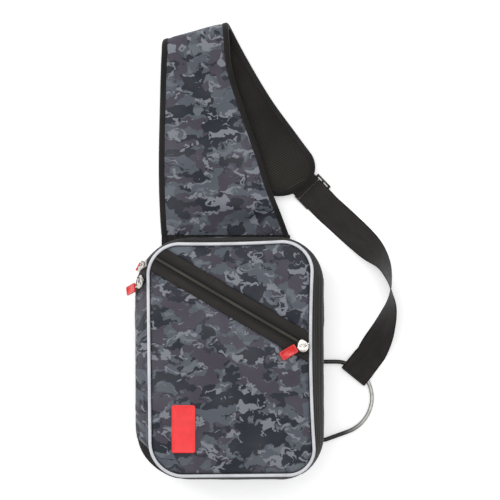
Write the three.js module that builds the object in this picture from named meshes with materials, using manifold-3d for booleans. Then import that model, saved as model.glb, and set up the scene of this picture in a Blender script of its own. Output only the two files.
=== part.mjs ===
// Fishing tackle sling bag, lying on its back with the shoulder strap folded over above it.
// Millimetres, +Z up. The origin is the middle of the back panel, on the surface it lies on.
// +X is the wearer's webbing side, +Y runs up the bag towards the strap, +Z is the front.
import * as THREE from "three";
import { mergeVertices } from "three/addons/utils/BufferGeometryUtils.js";
import Module from "manifold-3d";

const wasm = await Module();
wasm.setup();

// Driving dimensions of the body
const CLEARANCE = 0.35;
const HALF_WIDTH = 122;
const HALF_HEIGHT = 156;
const FRONT_HEIGHT = 90;
const BELLY_HEIGHT = 50;
const CROWN = 8;
const CLOTH = 1.4;
const GUSSET_WALL = 2.4;
const PANEL_WALL = 2.0;
const PIPING_RADIUS = 2.35;
const SIDE_STEPS = 7;
const CORNER_STEPS = 6;

// Corners of the three outlines that the side wall runs through: top left, top right, bottom
// right, bottom left. Each has its place as shares of the half width and half height and its
// radius as a share of the half width; bow pulls a side's middle inwards by such a share.
const BACK_OUTLINE = {
  corners: [[-0.848, 0.891, 0.262], [0.848, 0.891, 0.262], [0.848, -0.891, 0.262], [-0.848, -0.891, 0.262]],
  bow: [0, 0, 0, 0],
};
const BELLY_OUTLINE = {
  corners: [[-1.002, 0.997, 0.6], [0.998, 1, 0.49], [1.002, -1, 0.475], [-0.996, -1, 0.59]],
  bow: [0, 0, 0, 0],
};
const FRONT_OUTLINE = {
  corners: [[-0.851, 0.937, 0.328], [0.859, 0.965, 0.311], [0.887, -0.941, 0.27], [-0.823, -0.954, 0.352]],
  bow: [0.01, 0.026, 0, 0],
};

// Main zip, seen across its tapes from the piping down the side wall
const COIL_DROP = 5.4;
const COIL_WIDTH = 4;
const ZIP_DEPTH = 30;
const ZIP_TOP = FRONT_HEIGHT - PIPING_RADIUS - CLEARANCE;
const COIL_TOP = FRONT_HEIGHT - COIL_DROP;
const COIL_BOTTOM = COIL_TOP - COIL_WIDTH;
const ZIP_BOTTOM = FRONT_HEIGHT - ZIP_DEPTH;
const COIL_RISE = 1.6;
const ZIP_START_Y = 79;
const ZIP_END_X = 92;
const BLACK_START_Y = -100;
const END_TAB = 6;

// Pocket zip across the front
const POCKET_ANGLE = -30.3;
const POCKET_POINT = [-6, 77.6];
const POCKET_WIDTH = 33;
const POCKET_COIL = 4.6;
const POCKET_SUNK = 0.7;

// Zip pulls; the puller's hinge axis runs across the slider under its bridge
const SLIDER = { length: 10.5, width: 10.5, height: 3.2, reach: 3.6, post: 1.6, bridgeWidth: 1.7, bridge: 1.2 };
const PULLER = { radius: 7, thick: 1.3, axle: 1.1, slot: 4.6, slotWidth: 3.4, neck: 2.4, eyelet: 1.5 };
const TAB = { length: 23, width: 11.6, thick: 2.8, corner: 1.6 };
// The pocket zip's pull: its axis short of the zip's end and beside its middle, the way its
// tab points and how far the tab's neck lies off the eye's middle
const POCKET_PULL = { short: 6.9, beside: 3, heading: 211, neckAside: 3.2 };
// The main zip's pulls, whose eyes lie along the zip: how far above the zip's start each lies,
// how far its eye leans from standing straight out, where the neck leaves the eye and where
// it ends, the way the tab hangs and the way its face lies
const SIDE_PULLS = [
  {
    name: "upper", above: 40.5, lean: 78, neckFrom: 9.5, neckEnd: [-6, -4, -11.5],
    hang: [-0.04, 0, -1], across: [-0.47, -0.88, 0],
  },
  {
    name: "lower", above: 22, lean: 86, neckFrom: 10.2, neckEnd: [-5.2, -9.7, -5.2],
    hang: [-0.48, -0.26, -0.84], across: [0.18, -0.92, 0.33],
  },
];

// Label
const LABEL = { width: 30, height: 61, thick: 1.1, corner: 3, x: -58.2, y: -88.2 };

// Strap, measured along its cloth before it is folded; its pad's end comes to lie padEnd
// above the strap's start
const STRAP = {
  start: HALF_HEIGHT + 2.9,
  length: 517,
  padEnd: 59.2,
  middle: -45,
  half: 45,
  thick: 9,
  face: 1.5,
  binding: 8,
  leftRound: 52,
  rightRound: 32,
  foldAngle: 15,
  foldInner: 5,
  foldRun: 75,
  sagFrom: 30,
  sag: 60,
  rootRun: 42,
};
// Each row: how far along the strap, and its left and right edge in half widths
const STRAP_ROWS = [
  { along: 0, left: -1.0, right: 2.72 },
  { along: 0.05, left: -1.04, right: 2.5 },
  { along: 0.12, left: -1.07, right: 2.18 },
  { along: 0.2, left: -1.075, right: 1.9 },
  { along: 0.32, left: -1.04, right: 1.42 },
  { along: 0.42, left: -1.0, right: 1.07 },
  { along: 0.5, left: -0.955, right: 0.98 },
  { along: 0.62, left: -0.9, right: 0.9 },
  { along: 0.76, left: -0.9, right: 0.91 },
  { along: 0.87, left: -0.9, right: 1.04 },
  { along: 1, left: -0.9, right: 1.2 },
];

// Slide, webbing and ring. Past the slide the webbing's upper layer comes down on the lower
// one over `landing`; at the ring it is down from `ringLanding` on, and rises from `ringRise`.
const WEBBING = {
  width: 38, thick: 1.5, stitched: 36, endLoop: 30, ringReach: 11.5, lead: 27,
  landing: 8, ringLanding: 16, ringRise: 11, ringTop: 5, freeFrom: 6,
};
// The slide lies ahead of the pad's end and aside of it, turned from the pad's own heading
const SLIDE = {
  ahead: 9.1, aside: 11.1, turn: 14, length: 24, rim: 2.4, bars: 3.2, slot: 7, barThick: 2, rimThick: 4.4,
};
const PAD_LIFT_RUN = 45;
const PAD_TAB = 12;
const TAB_STEP = 3;
// The ring's bar lies `gap` beside the bag's wall; the loop reaches out from it
const RING = {
  wire: 5.5, gap: 7.7, reach: 72.3, top: -7.3, shoulder: -87.6, bottom: -113.6, barRound: 9, farRound: 48, hook: 51,
};
// Each row of the webbing's free run: how far along the straight line from the slide to the
// ring, how far out from that line, as shares of it, and how far the band has twisted
const ROUTE = [
  { along: 0, out: 0, twist: 0 },
  { along: 0.137, out: 0.082, twist: 0 },
  { along: 0.32, out: 0.186, twist: 22 },
  { along: 0.443, out: 0.242, twist: 55 },
  { along: 0.55, out: 0.251, twist: 74 },
  { along: 0.646, out: 0.237, twist: 90 },
  { along: 0.745, out: 0.202, twist: 112 },
  { along: 0.878, out: 0.11, twist: 142 },
  { along: 1, out: 0, twist: 180 },
];

// Small vector and number helpers
const v3 = (x, y, z) => new THREE.Vector3(x, y, z);
const radians = THREE.MathUtils.degToRad;
const lerp = THREE.MathUtils.lerp;
const ease = (t) => THREE.MathUtils.smoothstep(t, 0, 1);
const range = (n) => Array.from({ length: n }, (_, i) => i);

// Smooth curve through a table's rows, read at `at`
function along(rows, key, column, at) {
  const last = rows.length - 1;
  let i = 0;
  while (i < last - 1 && at > rows[i + 1][key]) i += 1;
  const slope = (j) => {
    const a = rows[Math.max(j - 1, 0)];
    const b = rows[Math.min(j + 1, last)];
    return (b[column] - a[column]) / (b[key] - a[key]);
  };
  const gap = rows[i + 1][key] - rows[i][key];
  const t = THREE.MathUtils.clamp((at - rows[i][key]) / gap, 0, 1);
  const a = (2 * t ** 3 - 3 * t ** 2 + 1) * rows[i][column];
  const b = (t ** 3 - 2 * t ** 2 + t) * gap * slope(i);
  const c = (-2 * t ** 3 + 3 * t ** 2) * rows[i + 1][column];
  const d = (t ** 3 - t ** 2) * gap * slope(i + 1);
  return a + b + c + d;
}

// Closed outline with rounded corners, clockwise from the middle of the left side's top end
function roundedLoop(corners, bow, cornerSteps, sideSteps) {
  const count = corners.length;
  const corner = corners.map(([x, y, radius], i) => {
    const here = new THREE.Vector2(x, y);
    const before = corners[(i + count - 1) % count];
    const after = corners[(i + 1) % count];
    const back = new THREE.Vector2(before[0] - x, before[1] - y).normalize();
    const ahead = new THREE.Vector2(after[0] - x, after[1] - y).normalize();
    const half = Math.acos(back.dot(ahead)) / 2;
    const reach = radius / Math.tan(half);
    const start = here.clone().addScaledVector(back, reach);
    const end = here.clone().addScaledVector(ahead, reach);
    const middle = back.clone().add(ahead).normalize();
    const centre = here.clone().addScaledVector(middle, radius / Math.sin(half));
    return { start, end, centre, radius };
  });
  const points = [];
  corner.forEach(({ start, end, centre, radius }, i) => {
    const from = Math.atan2(start.y - centre.y, start.x - centre.x);
    let to = Math.atan2(end.y - centre.y, end.x - centre.x);
    if (to > from) to -= 2 * Math.PI;
    for (const step of range(cornerSteps + 1)) {
      const angle = lerp(from, to, step / cornerSteps);
      points.push(new THREE.Vector2(
        centre.x + radius * Math.cos(angle),
        centre.y + radius * Math.sin(angle),
      ));
    }
    const next = corner[(i + 1) % count].start;
    const side = next.clone().sub(end);
    const inward = new THREE.Vector2(side.y, -side.x).normalize();
    for (let step = 1; step < sideSteps; step += 1) {
      const t = step / sideSteps;
      const pull = bow[i] * 4 * t * (1 - t);
      points.push(end.clone().addScaledVector(side, t).addScaledVector(inward, pull));
    }
  });
  return points;
}

const sized = ([x, y, radius]) => [x * HALF_WIDTH, y * HALF_HEIGHT, radius * HALF_WIDTH];
const outline = ({ corners, bow }) =>
  roundedLoop(corners.map(sized), bow.map((pull) => pull * HALF_WIDTH), CORNER_STEPS, SIDE_STEPS);
const BACK = outline(BACK_OUTLINE);
const BELLY = outline(BELLY_OUTLINE);
const FRONT = outline(FRONT_OUTLINE);
const LOOP = FRONT.length;

// Outward direction of a clockwise loop at point i
function outward(loop, i) {
  const a = loop[(i + loop.length - 1) % loop.length];
  const b = loop[(i + 1) % loop.length];
  return new THREE.Vector2(a.y - b.y, b.x - a.x).normalize();
}

// How far the side wall has come in from the belly at height z, 0 to 1
function wallShare(z) {
  return z > BELLY_HEIGHT
    ? ((z - BELLY_HEIGHT) / (FRONT_HEIGHT - BELLY_HEIGHT)) ** 2
    : ((BELLY_HEIGHT - z) / BELLY_HEIGHT) ** 1.6;
}

// The side wall at place i along the loop, which may lie between two points, and height z;
// grow moves it outwards
function wallPoint(i, z, grow = 0) {
  const low = Math.floor(i);
  const end = z > BELLY_HEIGHT ? FRONT : BACK;
  const [a, b] = [low, low + 1].map((k) => {
    const at = (k + 2 * LOOP) % LOOP;
    return BELLY[at].clone().lerp(end[at], wallShare(z)).addScaledVector(outward(BELLY, at), grow);
  });
  const point = a.lerp(b, i - low);
  return v3(point.x, point.y, z);
}

// Height of the crowned front, at the middle of the cloth's outside
function frontHeight(x, y) {
  const [[left], [right, top], [, bottom]] = FRONT_OUTLINE.corners.map(sized);
  const across = Math.abs((x - (left + right) / 2) / ((right - left) / 2));
  const up = Math.abs((y - (top + bottom) / 2) / ((top - bottom) / 2));
  const fall = (share) => Math.max(0, 1 - share ** 2.6);
  return FRONT_HEIGHT + CROWN * fall(across) * fall(up);
}

// Closed body from an indexed list of points and faces, turned to face outwards
function body(points, faces) {
  const geometry = new THREE.BufferGeometry();
  let volume = 0;
  for (const [a, b, c] of faces) {
    volume += points[a].dot(points[b].clone().cross(points[c]));
  }
  const turned = volume < 0 ? faces.map(([a, b, c]) => [a, c, b]) : faces;
  geometry.setAttribute("position", new THREE.Float32BufferAttribute(
    points.flatMap((p) => [p.x, p.y, p.z]), 3));
  geometry.setIndex(turned.flat());
  geometry.computeVertexNormals();
  return geometry;
}

// A sheet with thickness: two grids of points joined round their edges.
// With loop the grids close on themselves along their first direction.
function sheet(outer, inner, loop = false) {
  const rows = outer.length;
  const columns = outer[0].length;
  const points = [...outer.flat(), ...inner.flat()];
  const top = (i, j) => (i % rows) * columns + j;
  const low = (i, j) => rows * columns + top(i, j);
  const faces = [];
  const quad = (a, b, c, d) => faces.push([a, b, c], [a, c, d]);
  const spans = loop ? rows : rows - 1;
  for (const i of range(spans)) {
    for (const j of range(columns - 1)) {
      quad(top(i, j), top(i + 1, j), top(i + 1, j + 1), top(i, j + 1));
      quad(low(i, j), low(i, j + 1), low(i + 1, j + 1), low(i + 1, j));
    }
    quad(top(i, 0), low(i, 0), low(i + 1, 0), top(i + 1, 0));
    quad(top(i, columns - 1), top(i + 1, columns - 1), low(i + 1, columns - 1), low(i, columns - 1));
  }
  if (!loop) {
    for (const j of range(columns - 1)) {
      quad(top(0, j), top(0, j + 1), low(0, j + 1), low(0, j));
      quad(top(rows - 1, j), low(rows - 1, j), low(rows - 1, j + 1), top(rows - 1, j + 1));
    }
  }
  return body(points, faces);
}

// A bar: convex sections of equal count joined in turn, as a ring or with flat ends
function bar(sections, loop = false) {
  const rows = sections.length;
  const count = sections[0].length;
  const at = (i, j) => (i % rows) * count + (j % count);
  const faces = [];
  for (const i of range(loop ? rows : rows - 1)) {
    for (const j of range(count)) {
      faces.push([at(i, j), at(i + 1, j), at(i + 1, j + 1)]);
      faces.push([at(i, j), at(i + 1, j + 1), at(i, j + 1)]);
    }
  }
  if (!loop) {
    for (let j = 1; j < count - 1; j += 1) {
      faces.push([at(0, 0), at(0, j), at(0, j + 1)]);
      faces.push([at(rows - 1, 0), at(rows - 1, j + 1), at(rows - 1, j)]);
    }
  }
  return body(sections.flat(), faces);
}

// Round bar along a flat closed loop at height z
function roundBar(loop, z, radius, sides) {
  return bar(loop.map((p, i) => {
    const side = outward(loop, i);
    return range(sides).map((k) => {
      const angle = (2 * Math.PI * k) / sides;
      const out = radius * Math.cos(angle);
      return v3(p.x + side.x * out, p.y + side.y * out, z + radius * Math.sin(angle));
    });
  }), true);
}

// Booleans
function solid(geometry) {
  const bare = geometry.clone();
  bare.deleteAttribute("normal");
  bare.deleteAttribute("uv");
  const merged = mergeVertices(bare, 1e-4);
  return new wasm.Manifold(new wasm.Mesh({
    numProp: 3,
    vertProperties: new Float32Array(merged.attributes.position.array),
    triVerts: new Uint32Array(merged.index.array),
  }));
}

function fromSolid(manifold) {
  const mesh = manifold.getMesh();
  const geometry = new THREE.BufferGeometry();
  geometry.setAttribute("position", new THREE.Float32BufferAttribute(mesh.vertProperties, 3));
  geometry.setIndex([...mesh.triVerts]);
  geometry.computeVertexNormals();
  return geometry;
}

// Materials
const material = (color, roughness, metalness = 0) =>
  new THREE.MeshStandardMaterial({ color, roughness, metalness, flatShading: true });
const CAMOUFLAGE = { color: 0x4f5058, roughness: 0.9 };
const BLACK_CLOTH = { color: 0x2c2927, roughness: 0.9 };
const RED = { color: 0xd6433e, roughness: 0.5 };
const PIPING_GREY = { color: 0xdcdde0, roughness: 0.5 };
const STEEL = { color: 0xc9c8c4, roughness: 0.3, metalness: 1 };

const bag = new THREE.Group();
function add(name, geometry, look, parent = bag) {
  const mesh = new THREE.Mesh(geometry, material(look.color, look.roughness, look.metalness));
  mesh.name = name;
  parent.add(mesh);
  return mesh;
}

// Strip of the side wall between two heights, over a stretch of the loop
function wallStrip(first, last, top, bottom, steps, thick, lift = 0) {
  const closed = last - first >= LOOP;
  const stations = range(Math.ceil(last) - Math.floor(first) - 1).map((k) => Math.floor(first) + 1 + k);
  const rows = closed ? range(LOOP) : [first, ...stations, last];
  const grid = (grow) => rows.map((i) =>
    range(steps + 1).map((j) => wallPoint(i, lerp(top, bottom, j / steps), grow)));
  return sheet(grid(lift), grid(lift - thick), closed);
}

// Place along the loop where `height` of a point passes zero, among the points that `where` allows
function crossing(height, where, loop = BELLY) {
  const i = range(LOOP).find((k) => {
    const [a, b] = [loop[k], loop[(k + 1) % LOOP]];
    return where(a) && where(b) && height(a) * height(b) <= 0;
  });
  const [a, b] = [height(loop[i]), height(loop[(i + 1) % LOOP])];
  return i + a / (a - b);
}

// A place along the loop moved on by a length in millimetres
function moved(i, distance) {
  const a = BELLY[(Math.floor(i) + 2 * LOOP) % LOOP];
  const b = BELLY[(Math.floor(i) + 1 + 2 * LOOP) % LOOP];
  return i + distance / a.distanceTo(b);
}

// Where the side's pieces change; the zip starts on the left, before the loop's first point
const ZIP_START = crossing((p) => p.y - ZIP_START_Y, (p) => p.x < 0) - LOOP;
const BLACK_START = crossing((p) => p.y - BLACK_START_Y, (p) => p.x < 0) - LOOP;
const ZIP_END = crossing((p) => p.x - ZIP_END_X, (p) => p.y < 0);

// Back panel: a padded slab with a rim under the side wall's lower edge
function backPanel() {
  const levels = [
    { z: 0, inset: 3.0 },
    { z: 1.2, inset: 0.2 },
    { z: 2.6, inset: 0.2 },
    { z: 2.7, inset: GUSSET_WALL + 1.2 },
    { z: 6.5, inset: GUSSET_WALL + 1.6 },
    { z: 8.5, inset: GUSSET_WALL + 7 },
  ];
  const points = levels.flatMap(({ z, inset }) => range(LOOP).map((i) => {
    const side = outward(BACK, i);
    return v3(BACK[i].x - side.x * inset, BACK[i].y - side.y * inset, z);
  }));
  const low = points.push(v3(0, 0, 0)) - 1;
  const high = points.push(v3(0, 0, levels.at(-1).z)) - 1;
  const faces = [];
  for (const i of range(LOOP)) {
    const next = (i + 1) % LOOP;
    for (const j of range(levels.length - 1)) {
      const [a, b] = [j * LOOP + i, j * LOOP + next];
      faces.push([a, b, b + LOOP], [a, b + LOOP, a + LOOP]);
    }
    const rim = (levels.length - 1) * LOOP;
    faces.push([low, next, i], [high, rim + i, rim + next]);
  }
  return body(points, faces);
}

// Crowned sheet over the whole front, sunk by `sunk` and `thick` deep
function frontSheet(inset, sunk, thick) {
  const shares = [1, 0.9, 0.7, 0.42];
  const edge = FRONT.map((p, i) => p.clone().addScaledVector(outward(FRONT, i), -inset));
  const middle = new THREE.Vector2(2, 0);
  const layer = (drop) => [
    ...shares.flatMap((share) => edge.map((p) => {
      const q = middle.clone().lerp(p, share);
      return v3(q.x, q.y, frontHeight(q.x, q.y) - drop);
    })),
    v3(middle.x, middle.y, frontHeight(middle.x, middle.y) - drop),
  ];
  const half = shares.length * LOOP + 1;
  const faces = [];
  for (const i of range(LOOP)) {
    const next = (i + 1) % LOOP;
    for (const j of range(shares.length - 1)) {
      const [a, b] = [j * LOOP + i, j * LOOP + next];
      faces.push([a, b, b + LOOP], [a, b + LOOP, a + LOOP]);
      faces.push([half + a, half + b + LOOP, half + b], [half + a, half + a + LOOP, half + b + LOOP]);
    }
    const rim = (shares.length - 1) * LOOP;
    faces.push([half - 1, rim + i, rim + next], [2 * half - 1, half + rim + next, half + rim + i]);
    faces.push([i, half + next, next], [i, half + i, half + next]);
  }
  return body([...layer(sunk), ...layer(sunk + thick)], faces);
}

// Straight tool along the pocket zip, covering offsets from `low` to `high` across it
function pocketTool(low, high) {
  const tool = new THREE.BoxGeometry(OUT_OF_REACH, high - low, OUT_OF_REACH);
  tool.translate(0, (low + high) / 2, 0);
  tool.rotateZ(radians(POCKET_ANGLE));
  tool.translate(POCKET_POINT[0], POCKET_POINT[1], 0);
  return solid(tool);
}

// Body
const SEAM_INSET = PIPING_RADIUS + CLEARANCE;
const HALF_BAND = POCKET_WIDTH / 2;
const HALF_COIL = POCKET_COIL / 2;
const OUT_OF_REACH = 2 * (HALF_WIDTH + HALF_HEIGHT);
const camoFront = solid(frontSheet(SEAM_INSET, 0, PANEL_WALL));
const tapeFront = solid(frontSheet(SEAM_INSET, POCKET_SUNK, CLOTH));
const coilFront = solid(frontSheet(SEAM_INSET, POCKET_SUNK - COIL_RISE, CLOTH + COIL_RISE));
const frontPiece = (layer, low, high) => fromSolid(layer.intersect(pocketTool(low, high)));

add("back_panel", backPanel(), BLACK_CLOTH);
add("rear_gusset", wallStrip(0, LOOP, ZIP_BOTTOM - CLEARANCE, 3, 6, GUSSET_WALL), CAMOUFLAGE);
const [zipFirst, zipLast] = [moved(ZIP_START, END_TAB), ZIP_END];
add("zip_tape_rear",
  wallStrip(zipFirst, zipLast, COIL_BOTTOM - CLEARANCE, ZIP_BOTTOM, 2, CLOTH), BLACK_CLOTH);
add("zip_coil",
  wallStrip(zipFirst, zipLast, COIL_TOP, COIL_BOTTOM, 1, CLOTH + COIL_RISE, COIL_RISE), BLACK_CLOTH);
add("zip_tape_front",
  wallStrip(zipFirst, zipLast, ZIP_TOP, COIL_TOP + CLEARANCE, 1, CLOTH), BLACK_CLOTH);
add("zip_end_tab", wallStrip(
  ZIP_START, moved(ZIP_START, END_TAB - CLEARANCE), ZIP_TOP, ZIP_BOTTOM, 4, CLOTH), BLACK_CLOTH);
add("side_strip", wallStrip(
  BLACK_START, moved(ZIP_START, -CLEARANCE), ZIP_TOP, ZIP_BOTTOM, 4, CLOTH), CAMOUFLAGE);
add("bottom_strip", wallStrip(
  moved(ZIP_END, CLEARANCE), moved(BLACK_START + LOOP, -CLEARANCE), ZIP_TOP, ZIP_BOTTOM, 4, CLOTH),
  BLACK_CLOTH);
add("front_piping", roundBar(FRONT, FRONT_HEIGHT, PIPING_RADIUS, 6), PIPING_GREY);
add("front_panel_upper", frontPiece(camoFront, HALF_BAND + CLEARANCE, OUT_OF_REACH), CAMOUFLAGE);
add("front_panel_lower", frontPiece(camoFront, -OUT_OF_REACH, -HALF_BAND - CLEARANCE), CAMOUFLAGE);
add("pocket_tape_upper", frontPiece(tapeFront, HALF_COIL + CLEARANCE, HALF_BAND), BLACK_CLOTH);
add("pocket_tape_lower", frontPiece(tapeFront, -HALF_BAND, -HALF_COIL - CLEARANCE), BLACK_CLOTH);
add("pocket_coil", frontPiece(coilFront, -HALF_COIL, HALF_COIL), BLACK_CLOTH);

// Label: a thin rounded plate that follows the crowned cloth
function labelPlate() {
  const { width, height, thick, corner, x, y } = LABEL;
  const [w, h] = [width / 2, height / 2];
  const edge = roundedLoop(
    [[x - w, y + h, corner], [x + w, y + h, corner], [x + w, y - h, corner], [x - w, y - h, corner]],
    [0, 0, 0, 0], 3, 1);
  const tool = new THREE.ExtrudeGeometry(new THREE.Shape(edge), { depth: OUT_OF_REACH, bevelEnabled: false });
  return fromSolid(solid(frontSheet(SEAM_INSET, -CLEARANCE - thick, thick)).intersect(solid(tool)));
}
add("label", labelPlate(), RED);

// Heights of the webbing's two layers round the slide's bars; the pad's end rests on them
const GROUND_GAP = 0.1;
const LAYER_LOW = WEBBING.thick / 2 + 0.15;
const BAR_MIDDLE = LAYER_LOW + WEBBING.thick / 2 + CLEARANCE + SLIDE.barThick / 2;
const LAYER_HIGH = 2 * BAR_MIDDLE - LAYER_LOW;

// Strap cloth: where its edges lie before folding, `inset` in from the outline
const strapRow = (side, y) => {
  const share = THREE.MathUtils.clamp((y - STRAP.start) / STRAP.length, 0, 1);
  return STRAP.middle + STRAP.half * along(STRAP_ROWS, "along", side, share);
};
const STRAP_END = STRAP.start + STRAP.length;
function strapEdge(side, y, inset) {
  const round = side === "left" ? STRAP.leftRound : STRAP.rightRound;
  const inward = side === "left" ? 1 : -1;
  const past = Math.max(0, y - (STRAP_END - round));
  const arc = round - Math.sqrt(Math.max(0, (round - inset) ** 2 - past ** 2));
  return strapRow(side, Math.min(y, STRAP_END - round)) + inward * arc;
}

// The strap folds over a slanted line: cloth past the line rolls round and lies underneath
const FOLD_ALONG = new THREE.Vector2(1, 0).rotateAround(new THREE.Vector2(), radians(STRAP.foldAngle));
const FOLD_ACROSS = new THREE.Vector2(-FOLD_ALONG.y, FOLD_ALONG.x);
const LOW_MIDDLE = STRAP.thick / 2 + GROUND_GAP;
const FOLD_RADIUS = STRAP.foldInner + STRAP.thick / 2;
const HALF_TURN = Math.PI * FOLD_RADIUS;

// The middle of the pad's end on the flat cloth, how far past the fold it lies and where the
// fold brings it
const PAD_END = new THREE.Vector2(
  (strapRow("left", STRAP_END) + STRAP.leftRound + strapRow("right", STRAP_END) - STRAP.rightRound) / 2,
  STRAP_END);
const END_PAST = (HALF_TURN + (STRAP.length - STRAP.padEnd) / FOLD_ACROSS.y) / 2;
const PAD_END_PLAN = PAD_END.clone().addScaledVector(FOLD_ACROSS, HALF_TURN - 2 * END_PAST);
const pastFold = (x, y) => END_PAST + new THREE.Vector2(x, y).sub(PAD_END).dot(FOLD_ACROSS);

// The pad's end rests on the slide and on its tab
const PAD_LIFT = LAYER_HIGH + WEBBING.thick / 2 + CLEARANCE + GROUND_GAP;
const padLift = (y) => PAD_LIFT * ease(1 - (STRAP_END - 2.2 * PAD_TAB - y) / PAD_LIFT_RUN);

// Height of the upper run's middle: it lies on the lower run and sinks to the ground beside it
function upperHeight(x, y) {
  const past = pastFold(x, y);
  const under = FOLD_ACROSS.clone().multiplyScalar(HALF_TURN - 2 * past).add(new THREE.Vector2(x, y));
  const aside = Math.max(
    strapEdge("left", under.y, 0) - under.x,
    under.x - strapEdge("right", under.y, 0),
    under.y - STRAP_END,
    0,
  );
  const full = STRAP.thick + 2 * CLEARANCE + padLift(under.y);
  const nearFold = ease(1 + past / STRAP.foldRun);
  const held = (1 - ease((aside - STRAP.sagFrom) / STRAP.sag)) * ease((y - STRAP.start) / STRAP.rootRun);
  const lift = lerp(full, 2 * FOLD_RADIUS, nearFold) * held;
  return LOW_MIDDLE + lift;
}

// A point of the strap: x and y on the flat cloth, h towards its camouflage side
function strapPoint(x, y, h) {
  const past = pastFold(x, y);
  if (past <= 0) return v3(x, y, upperHeight(x, y) + h);
  const foot = new THREE.Vector2(x, y).addScaledVector(FOLD_ACROSS, -past);
  if (past < HALF_TURN) {
    const angle = past / FOLD_RADIUS;
    const out = FOLD_RADIUS + h;
    const plan = foot.addScaledVector(FOLD_ACROSS, out * Math.sin(angle));
    return v3(plan.x, plan.y, LOW_MIDDLE + FOLD_RADIUS + out * Math.cos(angle));
  }
  const plan = foot.addScaledVector(FOLD_ACROSS, HALF_TURN - past);
  return v3(plan.x, plan.y, LOW_MIDDLE + padLift(y) - h);
}

// Stations along the strap, each a line across the cloth that passes y at the strap's middle;
// near the fold the lines turn parallel to it
const SLANT = Math.tan(radians(STRAP.foldAngle));
const FOLD_Y = STRAP_END - pastFold(STRAP.middle, STRAP_END) / FOLD_ACROSS.y;
const FOLD_SPAN = HALF_TURN / Math.cos(radians(STRAP.foldAngle));
const slantAt = (y) => SLANT * ease(1 - (Math.abs(y - FOLD_Y - FOLD_SPAN / 2) - FOLD_SPAN) / STRAP.foldRun);
const STRAP_STATIONS = [
  ...range(11).map((k) => lerp(STRAP.start, FOLD_Y - 8, k / 10)),
  ...range(8).map((k) => lerp(FOLD_Y, FOLD_Y + FOLD_SPAN, k / 7)),
  ...range(7).map((k) => lerp(FOLD_Y + FOLD_SPAN + 8, STRAP_END - STRAP.leftRound, k / 6)),
];

// Where a station meets an edge of the cloth
function stationEdge(side, station, inset) {
  let x = STRAP.middle;
  let y = station;
  for (const _ of range(4)) {
    x = strapEdge(side, y, inset);
    y = station + slantAt(station) * (x - STRAP.middle);
  }
  return [x, y];
}

// Sheet of the strap between two heights in its thickness
function strapSheet(inset, low, high, columns) {
  const last = STRAP_END - inset;
  const rounding = range(5).map((k) =>
    lerp(STRAP_END - STRAP.leftRound, last, Math.sin(((k + 1) / 5) * Math.PI / 2)));
  const stations = [...STRAP_STATIONS, ...rounding];
  const grid = (h) => stations.map((station) => {
    const [left, right] = ["left", "right"].map((side) => stationEdge(side, station, inset));
    return range(columns + 1).map((j) =>
      strapPoint(lerp(left[0], right[0], j / columns), lerp(left[1], right[1], j / columns), h));
  });
  return sheet(grid(high), grid(low));
}

// Binding: up the left edge, round the pad's end and back down the right edge
function strapBinding() {
  const half = STRAP.thick / 2;
  const width = STRAP.binding - CLEARANCE;
  const rim = [
    { inset: 0, h: -half + 2 },
    { inset: 0, h: half - 2 },
    { inset: 2, h: half - 0.4 },
    { inset: width, h: half - 0.4 },
    { inset: width, h: -half + 0.8 },
    { inset: 2, h: -half + 0.8 },
  ];
  const run = (side, stations) => stations.map((station) => rim.map(({ inset, h }) =>
    strapPoint(...stationEdge(side, station, inset), h)));
  const turn = (side, angles) => {
    const round = side === "left" ? STRAP.leftRound : STRAP.rightRound;
    const inward = side === "left" ? 1 : -1;
    const centre = strapRow(side, STRAP_END - round) + inward * round;
    return angles.map((angle) => rim.map(({ inset, h }) => strapPoint(
      centre - inward * (round - inset) * Math.cos(angle),
      STRAP_END - round + (round - inset) * Math.sin(angle),
      h,
    )));
  };
  const quarter = range(8).map((k) => ((k + 1) / 8) * Math.PI / 2);
  const rightStations = [
    ...STRAP_STATIONS,
    STRAP_END - (STRAP.leftRound + STRAP.rightRound) / 2,
    STRAP_END - STRAP.rightRound,
  ];
  return bar([
    ...run("left", STRAP_STATIONS),
    ...turn("left", quarter),
    ...turn("right", [...quarter].reverse()),
    ...run("right", rightStations.reverse()),
  ]);
}

const HALF_STRAP = STRAP.thick / 2;
add("strap_face", strapSheet(STRAP.binding, HALF_STRAP - STRAP.face, HALF_STRAP, 7), CAMOUFLAGE);
add("strap_pad",
  strapSheet(STRAP.binding, -HALF_STRAP, HALF_STRAP - STRAP.face - CLEARANCE, 7), BLACK_CLOTH);
add("strap_binding", strapBinding(), BLACK_CLOTH);

// Gathered seam between the strap's lower end and the bag
function strapRoot() {
  const first = crossing((p) => p.x - strapEdge("left", STRAP.start, CLEARANCE), (p) => p.y > 0);
  const last = crossing((p) => p.x - strapEdge("right", STRAP.start, CLEARANCE), (p) => p.y > 0);
  const rows = [first, ...range(Math.ceil(last) - Math.floor(first) - 1)
    .map((k) => Math.floor(first) + 1 + k), last];
  const section = (i) => {
    const near = wallPoint(i, STRAP.thick, CLEARANCE);
    const low = CLEARANCE;
    const far = STRAP.start - CLEARANCE;
    return [
      v3(near.x, near.y, low), v3(near.x, far, low), v3(near.x, far, STRAP.thick), v3(near.x, near.y, STRAP.thick),
    ];
  };
  return bar(rows.map(section));
}
add("strap_root", strapRoot(), BLACK_CLOTH);

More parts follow.
